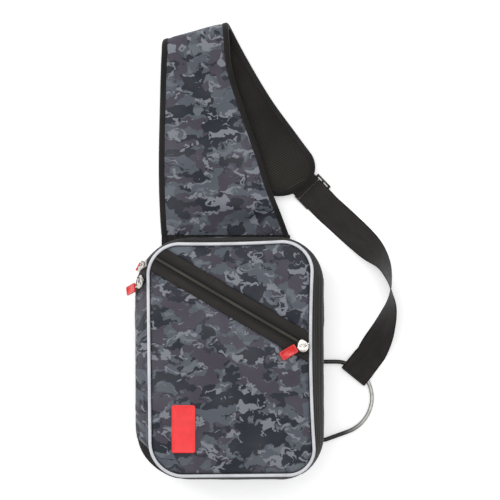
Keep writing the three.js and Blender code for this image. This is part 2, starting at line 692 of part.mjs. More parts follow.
// Ring and its sleeve
const RING_HEIGHT = RING.wire / 2 + WEBBING.thick + 2 * CLEARANCE;
const SLEEVE = [RING.bottom + RING.barRound + 3, RING.top - RING.barRound - 1];
const besideRing = crossing((p) => p.y - (SLEEVE[0] + SLEEVE[1]) / 2, (p) => p.x > 0);
const RING_BAR = wallPoint(besideRing, RING_HEIGHT).x + RING.gap;
const RING_FAR = RING_BAR + RING.reach;
const ringLoop = roundedLoop([
  [RING_BAR, RING.top, RING.barRound],
  [RING_FAR, RING.top, RING.farRound],
  [RING_FAR, RING.shoulder, RING.farRound],
  [RING_BAR, RING.bottom, RING.barRound],
], [0, 0, 0, 0], 7, 2);
add("ring", roundBar(ringLoop, RING_HEIGHT, RING.wire / 2, 7), STEEL);

function ringSleeve() {
  const inner = RING.wire / 2 + CLEARANCE;
  const outer = inner + CLOTH;
  const [from, to] = SLEEVE;
  const wall = CLEARANCE - RING.gap;
  const half = CLOTH / 2;
  const open = Math.asin(half / outer);
  const section = new THREE.Shape();
  section.moveTo(wall, -half);
  section.lineTo(-outer * Math.cos(open), -half);
  section.absarc(0, 0, outer, Math.PI + open, Math.PI - open, false);
  section.lineTo(wall, half);
  section.closePath();
  section.holes.push(new THREE.Path().absarc(0, 0, inner, 0, 2 * Math.PI, true));
  const sleeve = new THREE.ExtrudeGeometry(section, { depth: to - from, bevelEnabled: false, curveSegments: 12 });
  sleeve.rotateX(Math.PI / 2);
  sleeve.translate(RING_BAR, to, RING_HEIGHT);
  return fromSolid(solid(sleeve));
}
add("ring_sleeve", ringSleeve(), BLACK_CLOTH);

// Slide: two rims joined by three bars, one for the pad's tab and two for the webbing
const padHeading = 2 * radians(STRAP.foldAngle) - Math.PI / 2;
const PAD_AHEAD = new THREE.Vector2(Math.cos(padHeading), Math.sin(padHeading));
const SLIDE_MIDDLE = PAD_END_PLAN.clone()
  .addScaledVector(PAD_AHEAD, SLIDE.ahead)
  .addScaledVector(new THREE.Vector2(-PAD_AHEAD.y, PAD_AHEAD.x), SLIDE.aside);
const heading = padHeading + radians(SLIDE.turn);
const SLIDE_AXIS = new THREE.Vector2(Math.cos(heading), Math.sin(heading));
const SLIDE_WINDOW = WEBBING.width + 2 * CLEARANCE;

// A solid box along the slide's axis, from one distance to another from the slide's near end
function slideBox(from, to, left, right, thick) {
  const box = new THREE.BoxGeometry(to - from, right - left, thick);
  box.translate((from + to) / 2 - SLIDE.length / 2, (left + right) / 2, 0);
  return solid(box);
}

function slidePlate() {
  const half = SLIDE_WINDOW / 2;
  const rims = [-half - SLIDE.rim, half].map((left) =>
    slideBox(0, SLIDE.length, left, left + SLIDE.rim, SLIDE.rimThick));
  const bars = [0, SLIDE.bars + SLIDE.slot, SLIDE.length - SLIDE.bars].map((from) =>
    slideBox(from, from + SLIDE.bars, -half - 0.5, half + 0.5, SLIDE.barThick));
  return fromSolid([...rims, ...bars].reduce((whole, piece) => whole.add(piece)));
}
const slide = add("slide", slidePlate(), { color: 0x3a3836, roughness: 0.3, metalness: 0.8 });
slide.rotation.z = heading;
slide.position.set(SLIDE_MIDDLE.x, SLIDE_MIDDLE.y, BAR_MIDDLE);

// Band of webbing through stations that give its middle and the way its width lies
function band(stations) {
  return bar(stations.map(({ point, width }, i) => {
    const ahead = stations[Math.min(i + 1, stations.length - 1)].point;
    const behind = stations[Math.max(i - 1, 0)].point;
    const normal = ahead.clone().sub(behind).cross(width).normalize();
    const half = width.clone().setLength(WEBBING.width / 2);
    const rise = normal.multiplyScalar(WEBBING.thick / 2);
    return [
      point.clone().sub(half).sub(rise),
      point.clone().add(half).sub(rise),
      point.clone().add(half).add(rise),
      point.clone().sub(half).add(rise),
    ];
  }));
}

// Point on the slide's axis, `distance` from its near end, at height z
function slidePoint(distance, z) {
  const plan = SLIDE_MIDDLE.clone().addScaledVector(SLIDE_AXIS, distance - SLIDE.length / 2);
  return v3(plan.x, plan.y, z);
}
const SLIDE_SIDE = v3(SLIDE_AXIS.y, -SLIDE_AXIS.x, 0);

// Stations of a half turn between the two layers, `way` being 1 or -1 along the slide's axis
const TURN = (LAYER_HIGH - LAYER_LOW) / 2;
const slideTurn = (centre, way) => range(7).map((k) => {
  const angle = -Math.PI / 2 + (k / 6) * Math.PI;
  return slidePoint(centre + way * TURN * Math.cos(angle), BAR_MIDDLE + TURN * Math.sin(angle));
});

// Tab of webbing under the pad, folded round the slide's near bar
add("pad_tab", band([
  slidePoint(-PAD_TAB, LAYER_LOW),
  ...slideTurn(SLIDE.bars, 1),
  slidePoint(-PAD_TAB + TAB_STEP, LAYER_HIGH),
].map((point) => ({ point, width: SLIDE_SIDE }))), BLACK_CLOTH);

// Main webbing: sewn loop round the slide, twisted free run, sewn loop round the ring
const RING_CENTRE = new THREE.Vector2(RING_FAR - RING.farRound, RING.top - RING.farRound);
const hook = radians(RING.hook);
const HOOK_OUT = new THREE.Vector2(Math.cos(hook), Math.sin(hook));
const hookPoint = (distance, z) => {
  const plan = RING_CENTRE.clone().addScaledVector(HOOK_OUT, RING.farRound + distance);
  return v3(plan.x, plan.y, z);
};
const HOOK_SIDE = v3(HOOK_OUT.y, -HOOK_OUT.x, 0);
const LAYER_GAP = WEBBING.thick + CLEARANCE;

function webbingStations() {
  const nearLoop = [
    slidePoint(WEBBING.stitched, LAYER_LOW),
    ...slideTurn(SLIDE.bars + SLIDE.slot, -1),
    slidePoint(SLIDE.length, LAYER_HIGH),
    slidePoint(SLIDE.length + WEBBING.landing, LAYER_LOW + LAYER_GAP),
    slidePoint(WEBBING.stitched, LAYER_LOW + LAYER_GAP),
  ].map((point) => ({ point, width: SLIDE_SIDE }));
  const start = slidePoint(WEBBING.stitched + WEBBING.freeFrom, 0);
  const end = hookPoint(WEBBING.lead, 0);
  const line = end.clone().sub(start);
  const out = v3(-line.y, line.x, 0);
  const place = (at) => start.clone()
    .addScaledVector(line, at)
    .addScaledVector(out, along(ROUTE, "along", "out", at));
  const run = range(19).map((k) => {
    const at = k / 18;
    const twist = radians(along(ROUTE, "along", "twist", at));
    const point = place(at);
    const ahead = place(at + 0.01).sub(place(at - 0.01)).normalize();
    const side = v3(ahead.y, -ahead.x, 0);
    const width = side.multiplyScalar(Math.cos(twist)).add(v3(0, 0, Math.sin(twist)));
    point.z = LAYER_LOW + (WEBBING.width / 2) * Math.abs(Math.sin(twist));
    return { point, width };
  });
  const high = RING_HEIGHT + RING.wire / 2 + CLEARANCE + WEBBING.thick / 2;
  const low = 2 * RING_HEIGHT - high;
  const turn = (high - low) / 2;
  const centre = turn - WEBBING.ringReach;
  const farTurn = range(7).map((k) => {
    const angle = Math.PI / 2 - (k / 6) * Math.PI;
    return hookPoint(centre - turn * Math.cos(angle), RING_HEIGHT + turn * Math.sin(angle));
  });
  const farLoop = [
    hookPoint(WEBBING.ringLanding, low + LAYER_GAP),
    hookPoint(WEBBING.ringRise, low + LAYER_GAP),
    hookPoint(WEBBING.ringTop, high),
    ...farTurn,
    hookPoint(WEBBING.endLoop - WEBBING.ringReach, low),
  ].map((point) => ({ point, width: HOOK_SIDE }));
  return [...nearLoop, ...run, ...farLoop];
}
add("webbing", band(webbingStations()), BLACK_CLOTH);

// Zip slider: a body with an arched bridge over the hinge axis. The axis is the local X,
// the tab lies towards local Y and the face looks along local Z.
const AXIS_RISE = SLIDER.height + PULLER.axle + CLEARANCE;
const block = (x, y, z, at) => {
  const box = new THREE.BoxGeometry(x, y, z);
  box.translate(...at);
  return solid(box);
};

function sliderBody(turnBody, shift) {
  const corners = [[-1, 1], [1, 1], [1, -1], [-1, -1]]
    .map(([x, y]) => [x * SLIDER.width / 2, y * SLIDER.length / 2, 3]);
  const shape = new THREE.Shape(roundedLoop(corners, [0, 0, 0, 0], 2, 1));
  const plate = new THREE.ExtrudeGeometry(shape, { depth: SLIDER.height, bevelEnabled: false });
  plate.rotateZ(turnBody);
  plate.translate(shift.x, shift.y, 0);
  const inner = SLIDER.reach - SLIDER.post;
  const top = AXIS_RISE + PULLER.axle + CLEARANCE;
  const beam = block(SLIDER.bridgeWidth, 2 * SLIDER.reach, SLIDER.bridge, [0, 0, top + SLIDER.bridge / 2]);
  const posts = [-1, 1].map((way) => block(SLIDER.bridgeWidth, SLIDER.post, top + 0.1 - SLIDER.height / 2,
    [0, way * (inner + SLIDER.post / 2), (top + 0.1 + SLIDER.height / 2) / 2]));
  return fromSolid([beam, ...posts].reduce((whole, piece) => whole.add(piece), solid(plate)));
}

// Puller: a round eye whose rim is the axle, with a small eyelet and a neck out to its tab
const EYE_FAR = 2 * PULLER.radius - PULLER.axle - PULLER.thick;
function pullerEye(neckStart, neckEnd) {
  const disc = new THREE.Shape();
  const centre = PULLER.radius - PULLER.axle;
  disc.absarc(0, centre, PULLER.radius, 0, 2 * Math.PI, false);
  const slot = new THREE.Path();
  const half = PULLER.slotWidth / 2;
  slot.moveTo(-half, PULLER.axle);
  slot.lineTo(-half, PULLER.axle + PULLER.slot);
  slot.lineTo(half, PULLER.axle + PULLER.slot);
  slot.lineTo(half, PULLER.axle);
  slot.closePath();
  disc.holes.push(slot);
  const eyelet = new THREE.Path();
  eyelet.absarc(PULLER.eyelet + 1, centre + PULLER.eyelet + 1, PULLER.eyelet, 0, 2 * Math.PI, true);
  disc.holes.push(eyelet);
  const plate = new THREE.ExtrudeGeometry(disc, { depth: PULLER.thick, bevelEnabled: false, curveSegments: 14 });
  plate.translate(0, 0, -PULLER.thick / 2);
  const neck = new THREE.BoxGeometry(PULLER.neck, neckStart.distanceTo(neckEnd), PULLER.thick);
  neck.applyQuaternion(new THREE.Quaternion().setFromUnitVectors(
    v3(0, 1, 0), neckEnd.clone().sub(neckStart).normalize()));
  const middle = neckStart.clone().add(neckEnd).multiplyScalar(0.5);
  neck.translate(middle.x, middle.y, middle.z);
  return fromSolid(solid(plate).add(solid(neck)));
}

// Tab: a rounded plate from `start` along `hang`, its face across `across`
function tabPlate(start, hang, across) {
  const corners = [[-1, 1], [1, 1], [1, -1], [-1, -1]]
    .map(([x, y]) => [x * TAB.width / 2, y * TAB.length / 2, TAB.corner]);
  const shape = new THREE.Shape(roundedLoop(corners, [0, 0, 0, 0], 2, 1));
  const plate = new THREE.ExtrudeGeometry(shape, { depth: TAB.thick, bevelEnabled: false });
  plate.translate(0, TAB.length / 2, -TAB.thick / 2);
  const along = hang.clone().normalize();
  const face = across.clone().cross(along).normalize();
  const side = along.clone().cross(face);
  plate.applyMatrix4(new THREE.Matrix4().makeBasis(side, along, face).setPosition(start));
  return plate;
}

// One pull: slider, eye and tab in a frame of the given axis and normal; lift turns the eye
// up about its axis
function zipPull(name, origin, axis, normal, { turnBody, shift, lift, neckFrom, neckEnd, hang, across }) {
  const frame = new THREE.Group();
  const axisUnit = axis.clone().normalize();
  const up = normal.clone().normalize();
  const ahead = up.clone().cross(axisUnit);
  frame.applyMatrix4(new THREE.Matrix4().makeBasis(axisUnit, ahead, up).setPosition(origin));
  bag.add(frame);
  add(`${name}_slider`, sliderBody(turnBody, shift), STEEL, frame);
  const toFrame = (v) => v3(v.dot(axisUnit), v.dot(ahead), v.dot(up));
  const end = toFrame(neckEnd);
  const lifted = new THREE.Quaternion().setFromAxisAngle(v3(1, 0, 0), lift);
  const flatEnd = end.clone().applyQuaternion(lifted.clone().invert());
  const neckStart = v3(0, neckFrom, 0);
  const eye = add(`${name}_puller`, pullerEye(neckStart, flatEnd), STEEL, frame);
  eye.quaternion.copy(lifted);
  eye.position.z = AXIS_RISE;
  const reach = toFrame(hang);
  const neck = flatEnd.clone().sub(neckStart).applyQuaternion(lifted).normalize();
  const halfNeck = Math.hypot(PULLER.neck, PULLER.thick) / 2;
  const corner = halfNeck * Math.sqrt(Math.max(0, 1 - neck.dot(reach) ** 2 / reach.lengthSq()));
  const start = end.clone().addScaledVector(reach.clone().normalize(), CLEARANCE + corner);
  const tab = add(`${name}_tab`, tabPlate(start, reach, toFrame(across)), RED, frame);
  tab.position.z = AXIS_RISE;
}

// Pocket zip's pull, lying on the front
const pocketTurn = radians(POCKET_ANGLE);
const POCKET_ALONG = new THREE.Vector2(Math.cos(pocketTurn), Math.sin(pocketTurn));
const POCKET_ASIDE = new THREE.Vector2(-POCKET_ALONG.y, POCKET_ALONG.x);
// Where the pocket zip's middle line meets the front's outline, along it from its point
const pocketEnds = range(LOOP).flatMap((k) => {
  const [a, b] = [FRONT[k], FRONT[(k + 1) % LOOP]].map((p) => p.clone().sub(new THREE.Vector2(...POCKET_POINT)));
  const [beforeLine, afterLine] = [a.dot(POCKET_ASIDE), b.dot(POCKET_ASIDE)];
  if (beforeLine * afterLine > 0) return [];
  return [a.lerp(b, beforeLine / (beforeLine - afterLine)).dot(POCKET_ALONG)];
});
const onPocket = new THREE.Vector2(...POCKET_POINT)
  .addScaledVector(POCKET_ALONG, Math.max(...pocketEnds) - POCKET_PULL.short);
const pocketAxis = onPocket.clone().addScaledVector(POCKET_ASIDE, POCKET_PULL.beside);
const pocketHeading = radians(POCKET_PULL.heading);
const POCKET_HEAD = v3(Math.cos(pocketHeading), Math.sin(pocketHeading), 0);
const innerEnd = onPocket.clone().addScaledVector(POCKET_ALONG, -SLIDER.length);
const seatHeight = frontHeight(innerEnd.x, innerEnd.y) - POCKET_SUNK + COIL_RISE + CLEARANCE;
const bodyShift = onPocket.clone().addScaledVector(POCKET_ALONG, -SLIDER.length / 2).sub(pocketAxis);
const pocketSide = v3(POCKET_HEAD.y, -POCKET_HEAD.x, 0);
const bodyTurn = pocketTurn - pocketHeading;
zipPull("pocket", v3(pocketAxis.x, pocketAxis.y, seatHeight), pocketSide, v3(0, 0, 1), {
  turnBody: bodyTurn,
  lift: 0,
  shift: new THREE.Vector2(
    v3(bodyShift.x, bodyShift.y, 0).dot(pocketSide),
    v3(bodyShift.x, bodyShift.y, 0).dot(POCKET_HEAD)),
  neckFrom: EYE_FAR - PULLER.eyelet,
  neckEnd: POCKET_HEAD.clone()
    .multiplyScalar(2 * PULLER.radius - PULLER.axle - CLEARANCE)
    .addScaledVector(pocketSide, POCKET_PULL.neckAside),
  hang: POCKET_HEAD,
  across: pocketSide,
});

// Main zip's pulls, lying along the side with their tabs hanging
const COIL_MIDDLE = (COIL_TOP + COIL_BOTTOM) / 2;
const coilLoop = range(LOOP).map((i) => wallPoint(i, COIL_MIDDLE));
for (const { name, above, lean: leanDegrees, neckFrom, neckEnd, hang, across } of SIDE_PULLS) {
  const i = crossing((p) => p.y - ZIP_START_Y - above, (p) => p.x < 0, coilLoop) - LOOP;
  const seat = wallPoint(i, COIL_MIDDLE, COIL_RISE + CLEARANCE);
  const up = wallPoint(i, COIL_MIDDLE + 1).sub(wallPoint(i, COIL_MIDDLE - 1)).normalize();
  const ahead = wallPoint(i + 0.1, COIL_MIDDLE).sub(wallPoint(i - 0.1, COIL_MIDDLE)).normalize();
  const normal = up.clone().cross(ahead).normalize();
  zipPull(`side_${name}`, seat, up, normal, {
    turnBody: 0,
    shift: new THREE.Vector2(),
    lift: Math.PI / 2 + radians(leanDegrees),
    neckFrom,
    neckEnd: v3(...neckEnd),
    hang: v3(...hang),
    across: v3(...across),
  });
}

export default bag;
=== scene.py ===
# Fishing tackle sling bag, lying on its back with the shoulder strap folded over above it.
# The pieces are worked out in millimetres and written to their meshes in metres.
import contextlib
import math

import bmesh
import bpy
import numpy as np
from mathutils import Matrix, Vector, noise


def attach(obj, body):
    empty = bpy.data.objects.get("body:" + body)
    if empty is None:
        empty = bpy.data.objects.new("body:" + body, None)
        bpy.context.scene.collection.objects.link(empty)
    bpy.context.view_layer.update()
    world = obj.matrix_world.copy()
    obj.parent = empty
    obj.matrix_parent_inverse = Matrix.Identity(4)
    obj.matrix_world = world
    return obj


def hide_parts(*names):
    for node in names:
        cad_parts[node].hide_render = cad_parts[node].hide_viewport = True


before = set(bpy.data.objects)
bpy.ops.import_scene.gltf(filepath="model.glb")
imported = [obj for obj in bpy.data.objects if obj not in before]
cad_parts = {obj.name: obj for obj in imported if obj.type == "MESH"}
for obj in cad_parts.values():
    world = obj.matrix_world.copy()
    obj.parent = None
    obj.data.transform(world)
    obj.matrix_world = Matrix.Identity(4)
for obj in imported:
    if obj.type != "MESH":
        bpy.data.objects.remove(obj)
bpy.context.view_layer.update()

BAG = "bag"
MM = 0.001


# Camera: straight above the bag, far back, with the long lens of a product photograph
CAMERA_PLACE = (26.3, 139.2, 2800)
LENS = 153.4


def put(name, data):
    """A new object of this data, in the scene."""
    piece = bpy.data.objects.new(name, data)
    bpy.context.scene.collection.objects.link(piece)
    return piece


camera = put("camera", bpy.data.cameras.new("camera"))
camera.data.lens = LENS
camera.data.sensor_width = 36
camera.data.clip_end = 20
camera.location = Vector(CAMERA_PLACE) * MM
bpy.context.scene.camera = camera


# Light: one broad soft box overhead, a lower one from the upper left and a pale room
SOFT_BOXES = [
    {"name": "overhead_light", "place": (0.1, 0.5, 2.6), "size": 2.6, "power": 34},
    {"name": "side_light", "place": (-1.9, 1.5, 1.7), "size": 1.2, "power": 22},
]
LIT_PLACE = (0, 0.12, 0)
ROOM_STRENGTH = 0.52

for box in SOFT_BOXES:
    light = bpy.data.lights.new(box["name"], "AREA")
    light.shape = "SQUARE"
    light.size = box["size"]
    light.energy = box["power"]
    lamp = put(box["name"], light)
    lamp.location = box["place"]
    lamp.rotation_euler = (Vector(LIT_PLACE) - lamp.location).to_track_quat("-Z", "Y").to_euler()
world = bpy.data.worlds.new("room")
world.use_nodes = True
background = world.node_tree.nodes["Background"]
background.inputs["Color"].default_value = (1, 1, 1, 1)
background.inputs["Strength"].default_value = ROOM_STRENGTH
bpy.context.scene.world = world
bpy.context.scene.view_settings.view_transform = "Standard"


# Shader writing: a Value is a socket that takes part in sums, and a Finish is one material
def add_node(tree, kind, settings=None, sockets=None):
    """A new node; each of its sockets is given a plain value or another node's output."""
    made = tree.nodes.new(kind)
    for key, value in (settings or {}).items():
        setattr(made, key, value)
    for key, value in (sockets or {}).items():
        if isinstance(value, bpy.types.NodeSocket):
            tree.links.new(value, made.inputs[key])
        else:
            made.inputs[key].default_value = value
    return made


class Value:
    def __init__(self, finish, socket):
        self.finish = finish
        self.socket = socket

    def sum(self, operation, *others, before=False):
        terms = [*others, self] if before else [self, *others]
        return self.finish.node("ShaderNodeMath", {"operation": operation}, dict(enumerate(terms)))

    def __add__(self, other):
        return self.sum("ADD", other)

    def __mul__(self, other):
        return self.sum("MULTIPLY", other)

    def __sub__(self, other):
        return self.sum("SUBTRACT", other)

    def __rsub__(self, other):
        return self.sum("SUBTRACT", other, before=True)

    def __abs__(self):
        return self.sum("ABSOLUTE")

    def larger(self, other):
        return self.sum("MAXIMUM", other)

    # A wave of this length, from -1 to 1
    def waves(self, length):
        return (self * (2 * math.pi / length)).sum("SINE")

    def step(self, low, high):
        ends = {"Value": self, "From Min": low, "From Max": high}
        return self.finish.node("ShaderNodeMapRange", {"interpolation_type": "SMOOTHSTEP"}, ends)


class Finish:
    def __init__(self, name, rough=0.5, shine=0.5, sheen=(0, 0.5), **shader):
        self.material = bpy.data.materials.new(name)
        self.material.use_nodes = True
        self.tree = self.material.node_tree
        self.shader = self.tree.nodes["Principled BSDF"]
        shader.update(Roughness=rough, Specular_IOR_Level=shine)
        shader.update(zip(("Sheen_Weight", "Sheen_Roughness"), sheen))
        for socket, value in shader.items():
            self.shader.inputs[socket.replace("_", " ")].default_value = value

    def node(self, kind, settings=None, sockets=None, output=0):
        given = {key: getattr(value, "socket", value) for key, value in (sockets or {}).items()}
        return Value(self, add_node(self.tree, kind, settings, given).outputs[output])

    def feed(self, socket, value):
        self.tree.links.new(value.socket, self.shader.inputs[socket])

    # The cloth's own flat coordinates in millimetres, stretched by `scale`, as a vector
    def cloth(self, scale=(1, 1)):
        flat = self.node("ShaderNodeTexCoord", output="UV")
        size = (scale[0] / MM, scale[1] / MM, 1)
        return self.node("ShaderNodeMapping", sockets={"Vector": flat, "Scale": size})

    # Place in the object in millimetres, as a vector
    def place(self, scale=1):
        here = self.node("ShaderNodeTexCoord", output="Object")
        return self.node("ShaderNodeMapping", sockets={"Vector": here, "Scale": (scale / MM,) * 3})

    def parts(self, vector):
        split = self.node("ShaderNodeSeparateXYZ", sockets={"Vector": vector})
        return [Value(self, output) for output in split.socket.node.outputs]

    def noise(self, vector, size, detail=2, shift=0, output="Fac"):
        return self.node("ShaderNodeTexNoise", {"noise_dimensions": "4D"}, {
            "Vector": vector, "W": shift, "Scale": 1 / size, "Detail": detail}, output)

    def mix(self, share, low, high):
        return self.node("ShaderNodeMix", {"data_type": "RGBA"}, {0: share, 6: low, 7: high}, 2)

    # A colour that goes over into another in clouds of a size, stretched along the cloth
    def worn(self, size, colour, other, stretch=1, ends=(0.3, 0.75)):
        cloud = self.noise(self.cloth((stretch, 1)), size, 4)
        return self.mix(cloud.step(*ends), shade(*colour), shade(*other))

    def bump(self, height, depth, under=None):
        sockets = {"Height": height, "Distance": depth * MM, "Strength": 1}
        if under:
            sockets["Normal"] = under
        return self.node("ShaderNodeBump", {}, sockets, "Normal")

    # The finished material, with its colour and its relief of a depth in millimetres
    def coat(self, colour, relief, depth, under=None):
        self.feed("Base Color", colour)
        self.feed("Normal", self.bump(relief, depth, under))
        return self.material


def shade(red, green, blue):
    """A colour of 0 to 255 as the shader's own linear value."""
    return (*[((c / 255 + 0.055) / 1.055) ** 2.4 for c in (red, green, blue)], 1)


# Floor: plain and pale, under the bag
FLOOR_SIZE = 12
FLOOR_GAP = 0.0002
FLOOR_GREY = shade(250, 250, 250)

floor_finish = Finish(
    "floor_finish", 0.9, Emission_Color=shade(255, 255, 255), Emission_Strength=0.34)
floor_finish.feed("Base Color", floor_finish.mix(
    floor_finish.noise(floor_finish.place(), 400), FLOOR_GREY, shade(246, 246, 247)))
floor_mesh = bpy.data.meshes.new("floor")
half_floor = FLOOR_SIZE / 2
floor_mesh.from_pydata(
    [(x * half_floor, y * half_floor, -FLOOR_GAP) for x, y in ((-1, -1), (1, -1), (1, 1), (-1, 1))],
    [], [(0, 1, 2, 3)])
floor_mesh.materials.append(floor_finish.material)
put("floor", floor_mesh)


# Back panel: a padded slab of black cloth, flat where the bag lies on it. Its rim is sewn
# to the side wall's lower edge.
CLEARANCE = 0.35
CLOTH = 1.4
GUSSET_WALL = 2.4
FRONT_HEIGHT = 90
BELLY_HEIGHT = 50
CORNER_STEPS = 20
SIDE_STEPS = 44
HALF_WIDTH = 122
HALF_HEIGHT = 156
# Corners from the top left, clockwise: place as shares of the half width and half height,
# and radius as a share of the half width; bow pulls a side's middle inwards
OUTLINES = {
    "back": [(-0.848, 0.891, 0.262), (0.848, 0.891, 0.262), (0.848, -0.891, 0.262), (-0.848, -0.891, 0.262)],
    "belly": [(-1.002, 0.997, 0.6), (0.998, 1, 0.49), (1.002, -1, 0.475), (-0.996, -1, 0.59)],
    "front": [(-0.851, 0.937, 0.328), (0.859, 0.965, 0.311), (0.887, -0.941, 0.27), (-0.823, -0.954, 0.352)],
}
FRONT_BOW = (1.22, 3.17, 0, 0)


def unit(vectors):
    """Vectors of the same directions and length 1."""
    return vectors / np.linalg.norm(vectors, axis=-1, keepdims=True)


def direction(angle):
    return np.array([math.cos(angle), math.sin(angle)])


def left_of(way):
    """A direction turned a quarter to the left."""
    return np.array([-way[1], way[0]])


def run_length(line, closed=False):
    """Length along a line of points up to each; a closed line's last value is its whole length."""
    steps = np.diff(line, axis=0, append=line[:1]) if closed else np.diff(line, axis=0)
    return np.concatenate([[0], np.cumsum(np.linalg.norm(steps, axis=1))])


NO_BOW = (0, 0, 0, 0)


def rounded_loop(corners, corner_steps, side_steps, bow=NO_BOW):
    """Closed outline with rounded corners, clockwise from the first corner; bow pulls sides in."""
    turned = []
    for k, (x, y, radius) in enumerate(corners):
        here = np.array([x, y], float)
        back = unit(np.array(corners[k - 1][:2]) - here)
        ahead = unit(np.array(corners[(k + 1) % len(corners)][:2]) - here)
        half = math.acos(back @ ahead) / 2
        reach = radius / math.tan(half)
        centre = here + unit(back + ahead) * radius / math.sin(half)
        turned.append((here + back * reach, here + ahead * reach, centre, radius))
    points = []
    for k, (start, end, centre, radius) in enumerate(turned):
        first = math.atan2(*(start - centre)[::-1])
        last = math.atan2(*(end - centre)[::-1])
        if last > first:
            last -= 2 * math.pi
        for angle in np.linspace(first, last, corner_steps + 1):
            points.append(centre + radius * direction(angle))
        side = turned[(k + 1) % len(turned)][0] - end
        for t in np.arange(1, side_steps) / side_steps:
            points.append(end + side * t - left_of(unit(side)) * bow[k] * 4 * t * (1 - t))
    return np.array(points)


def outward(loop):
    """The outward direction at each point of a clockwise loop."""
    side = np.roll(loop, -1, axis=0) - np.roll(loop, 1, axis=0)
    return unit(np.stack([-side[:, 1], side[:, 0]], axis=1))


CORNERS = {
    name: [(x * HALF_WIDTH, y * HALF_HEIGHT, radius * HALF_WIDTH) for x, y, radius in rows]
    for name, rows in OUTLINES.items()}
BACK, BELLY, FRONT = [
    rounded_loop(CORNERS[name], CORNER_STEPS, SIDE_STEPS, FRONT_BOW if name == "front" else NO_BOW)
    for name in ("back", "belly", "front")]
LOOP = len(FRONT)
BELLY_OUT = outward(BELLY)
ARC = run_length(BELLY, closed=True)


def cloth_mesh(name, grid, flat, material, closed=False, sharp=40):
    """A closed piece from rings of points: grid is rings by points round each ring, in
    millimetres, and flat gives each its place on the flat cloth. A ring's second half lies
    under its first, so the ends are closed by quads between the two."""
    rings, count, _ = grid.shape
    index = np.arange(rings * count).reshape(rings, count)
    faces, corners = [], []

    def face(*places):
        faces.append([int(index[r % rings, c % count]) for r, c in places])
        corners.extend(flat[r, c] for r, c in places)

    for r in range(rings if closed else rings - 1):
        for c in range(count):
            face((r, c), (r, c + 1), (r + 1, c + 1), (r + 1, c))
    if not closed:
        for c in range(count // 2 - 1):
            under = count - 1 - c
            face((0, c), (0, under), (0, under - 1), (0, c + 1))
            face((rings - 1, c), (rings - 1, c + 1), (rings - 1, under - 1), (rings - 1, under))
    mesh = bpy.data.meshes.new(name)
    mesh.from_pydata((grid.reshape(-1, 3) * MM).tolist(), [], faces)
    layer = mesh.uv_layers.new(name="cloth")
    layer.data.foreach_set("uv", (np.array(corners, float) * MM).ravel())
    return finished(name, mesh, material, sharp)


def two_faced(name, outer, inner, along, over, material, round_by=0.0, sharp=40):
    """A sheet from rows of points on both faces, with their places on the flat cloth. A
    sheet that meets its own start gives the length round."""
    grid = np.concatenate([outer, inner[:, ::-1]], axis=1)
    flat = np.stack([along, over], axis=-1)
    flat = np.concatenate([flat, flat[:, ::-1], flat[:, :1]], axis=1)
    if round_by:
        flat = np.concatenate([flat, flat[:1] + (round_by, 0)])
    return cloth_mesh(name, grid, flat, material, bool(round_by), sharp)


def stacked(name, rings, material):
    """A closed piece from outlines that go from its middle round its rim and back."""
    grid = np.stack(rings, axis=1)
    flat = np.concatenate([grid, grid[:1]])[:, :, :2]
    flat = np.concatenate([flat, flat[:, :1]], axis=1)
    return cloth_mesh(name, grid, flat, material, closed=True)


def round_bar(name, loop, height, radius, sides, material):
    """A closed bar of round section; its middle follows a loop at one height."""
    angles = -2 * np.pi * np.arange(sides) / sides
    plan = loop[:, None] + outward(loop)[:, None] * (radius * np.cos(angles))[:, None]
    level = np.broadcast_to(height + radius * np.sin(angles), plan.shape[:2])
    around = radius * 2 * np.pi * np.arange(sides + 1) / sides
    flat = np.stack(np.meshgrid(run_length(loop, closed=True), around, indexing="ij"), axis=-1)
    return cloth_mesh(name, np.concatenate([plan, level[..., None]], axis=-1), flat, material, closed=True)


@contextlib.contextmanager
def editing(mesh):
    """The mesh opened for editing; it is written back at the end."""
    work = bmesh.new()
    work.from_mesh(mesh)
    yield work
    work.to_mesh(mesh)
    work.free()


def finished(name, mesh, material, sharp=40):
    """The object of a finished mesh, its faces turned outwards and shaded smooth."""
    with editing(mesh) as work:
        bmesh.ops.recalc_face_normals(work, faces=work.faces)
    mesh.polygons.foreach_set("use_smooth", [True] * len(mesh.polygons))
    mesh.set_sharp_from_angle(angle=math.radians(sharp))
    mesh.materials.append(material)
    return put(name, mesh)


def settle(piece, slot, *nodes, body=BAG):
    """The piece rides on its body and stands for these nodes."""
    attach(piece, body)
    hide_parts(*nodes)


def rumple(x, y, size, seed):
    """Soft unevenness of cloth, about -0.5 to 0.5, over places x and y in millimetres."""
    spot = np.broadcast_arrays(x, y)
    values = [noise.noise(Vector((a / size, b / size, seed))) for a, b in zip(spot[0].flat, spot[1].flat)]
    return np.array(values).reshape(spot[0].shape)


def ease(t):
    t = np.clip(t, 0, 1)
    return t * t * (3 - 2 * t)


def black_cloth(name, colour, thread):
    """Plain woven black nylon: fine crossed threads, a little dust and a soft sheen."""
    finish = Finish(name, 0.82, 0.25, (0.08, 0.45))
    across, up, _ = finish.parts(finish.cloth())
    look = finish.worn(45, colour, [c * 1.25 + 4 for c in colour], ends=(0.35, 0.75))
    return finish.coat(look, across.waves(thread) * up.waves(thread), 0.06)


BLACK_CLOTH = black_cloth("black_cloth", (29, 27, 27), 0.9)

# The panel's rim, as heights and how far in it lies there
BACK_RIM = [(0, 3.0), (0.5, 1.0), (1.2, 0.2), (2.0, 0.2), (2.6, 0.8), (2.7, 3.6), (6.5, 4.0), (8.5, 9.4)]
# An outline shrunk to this share closes a piece's middle to a pinpoint
PIN = 0.001

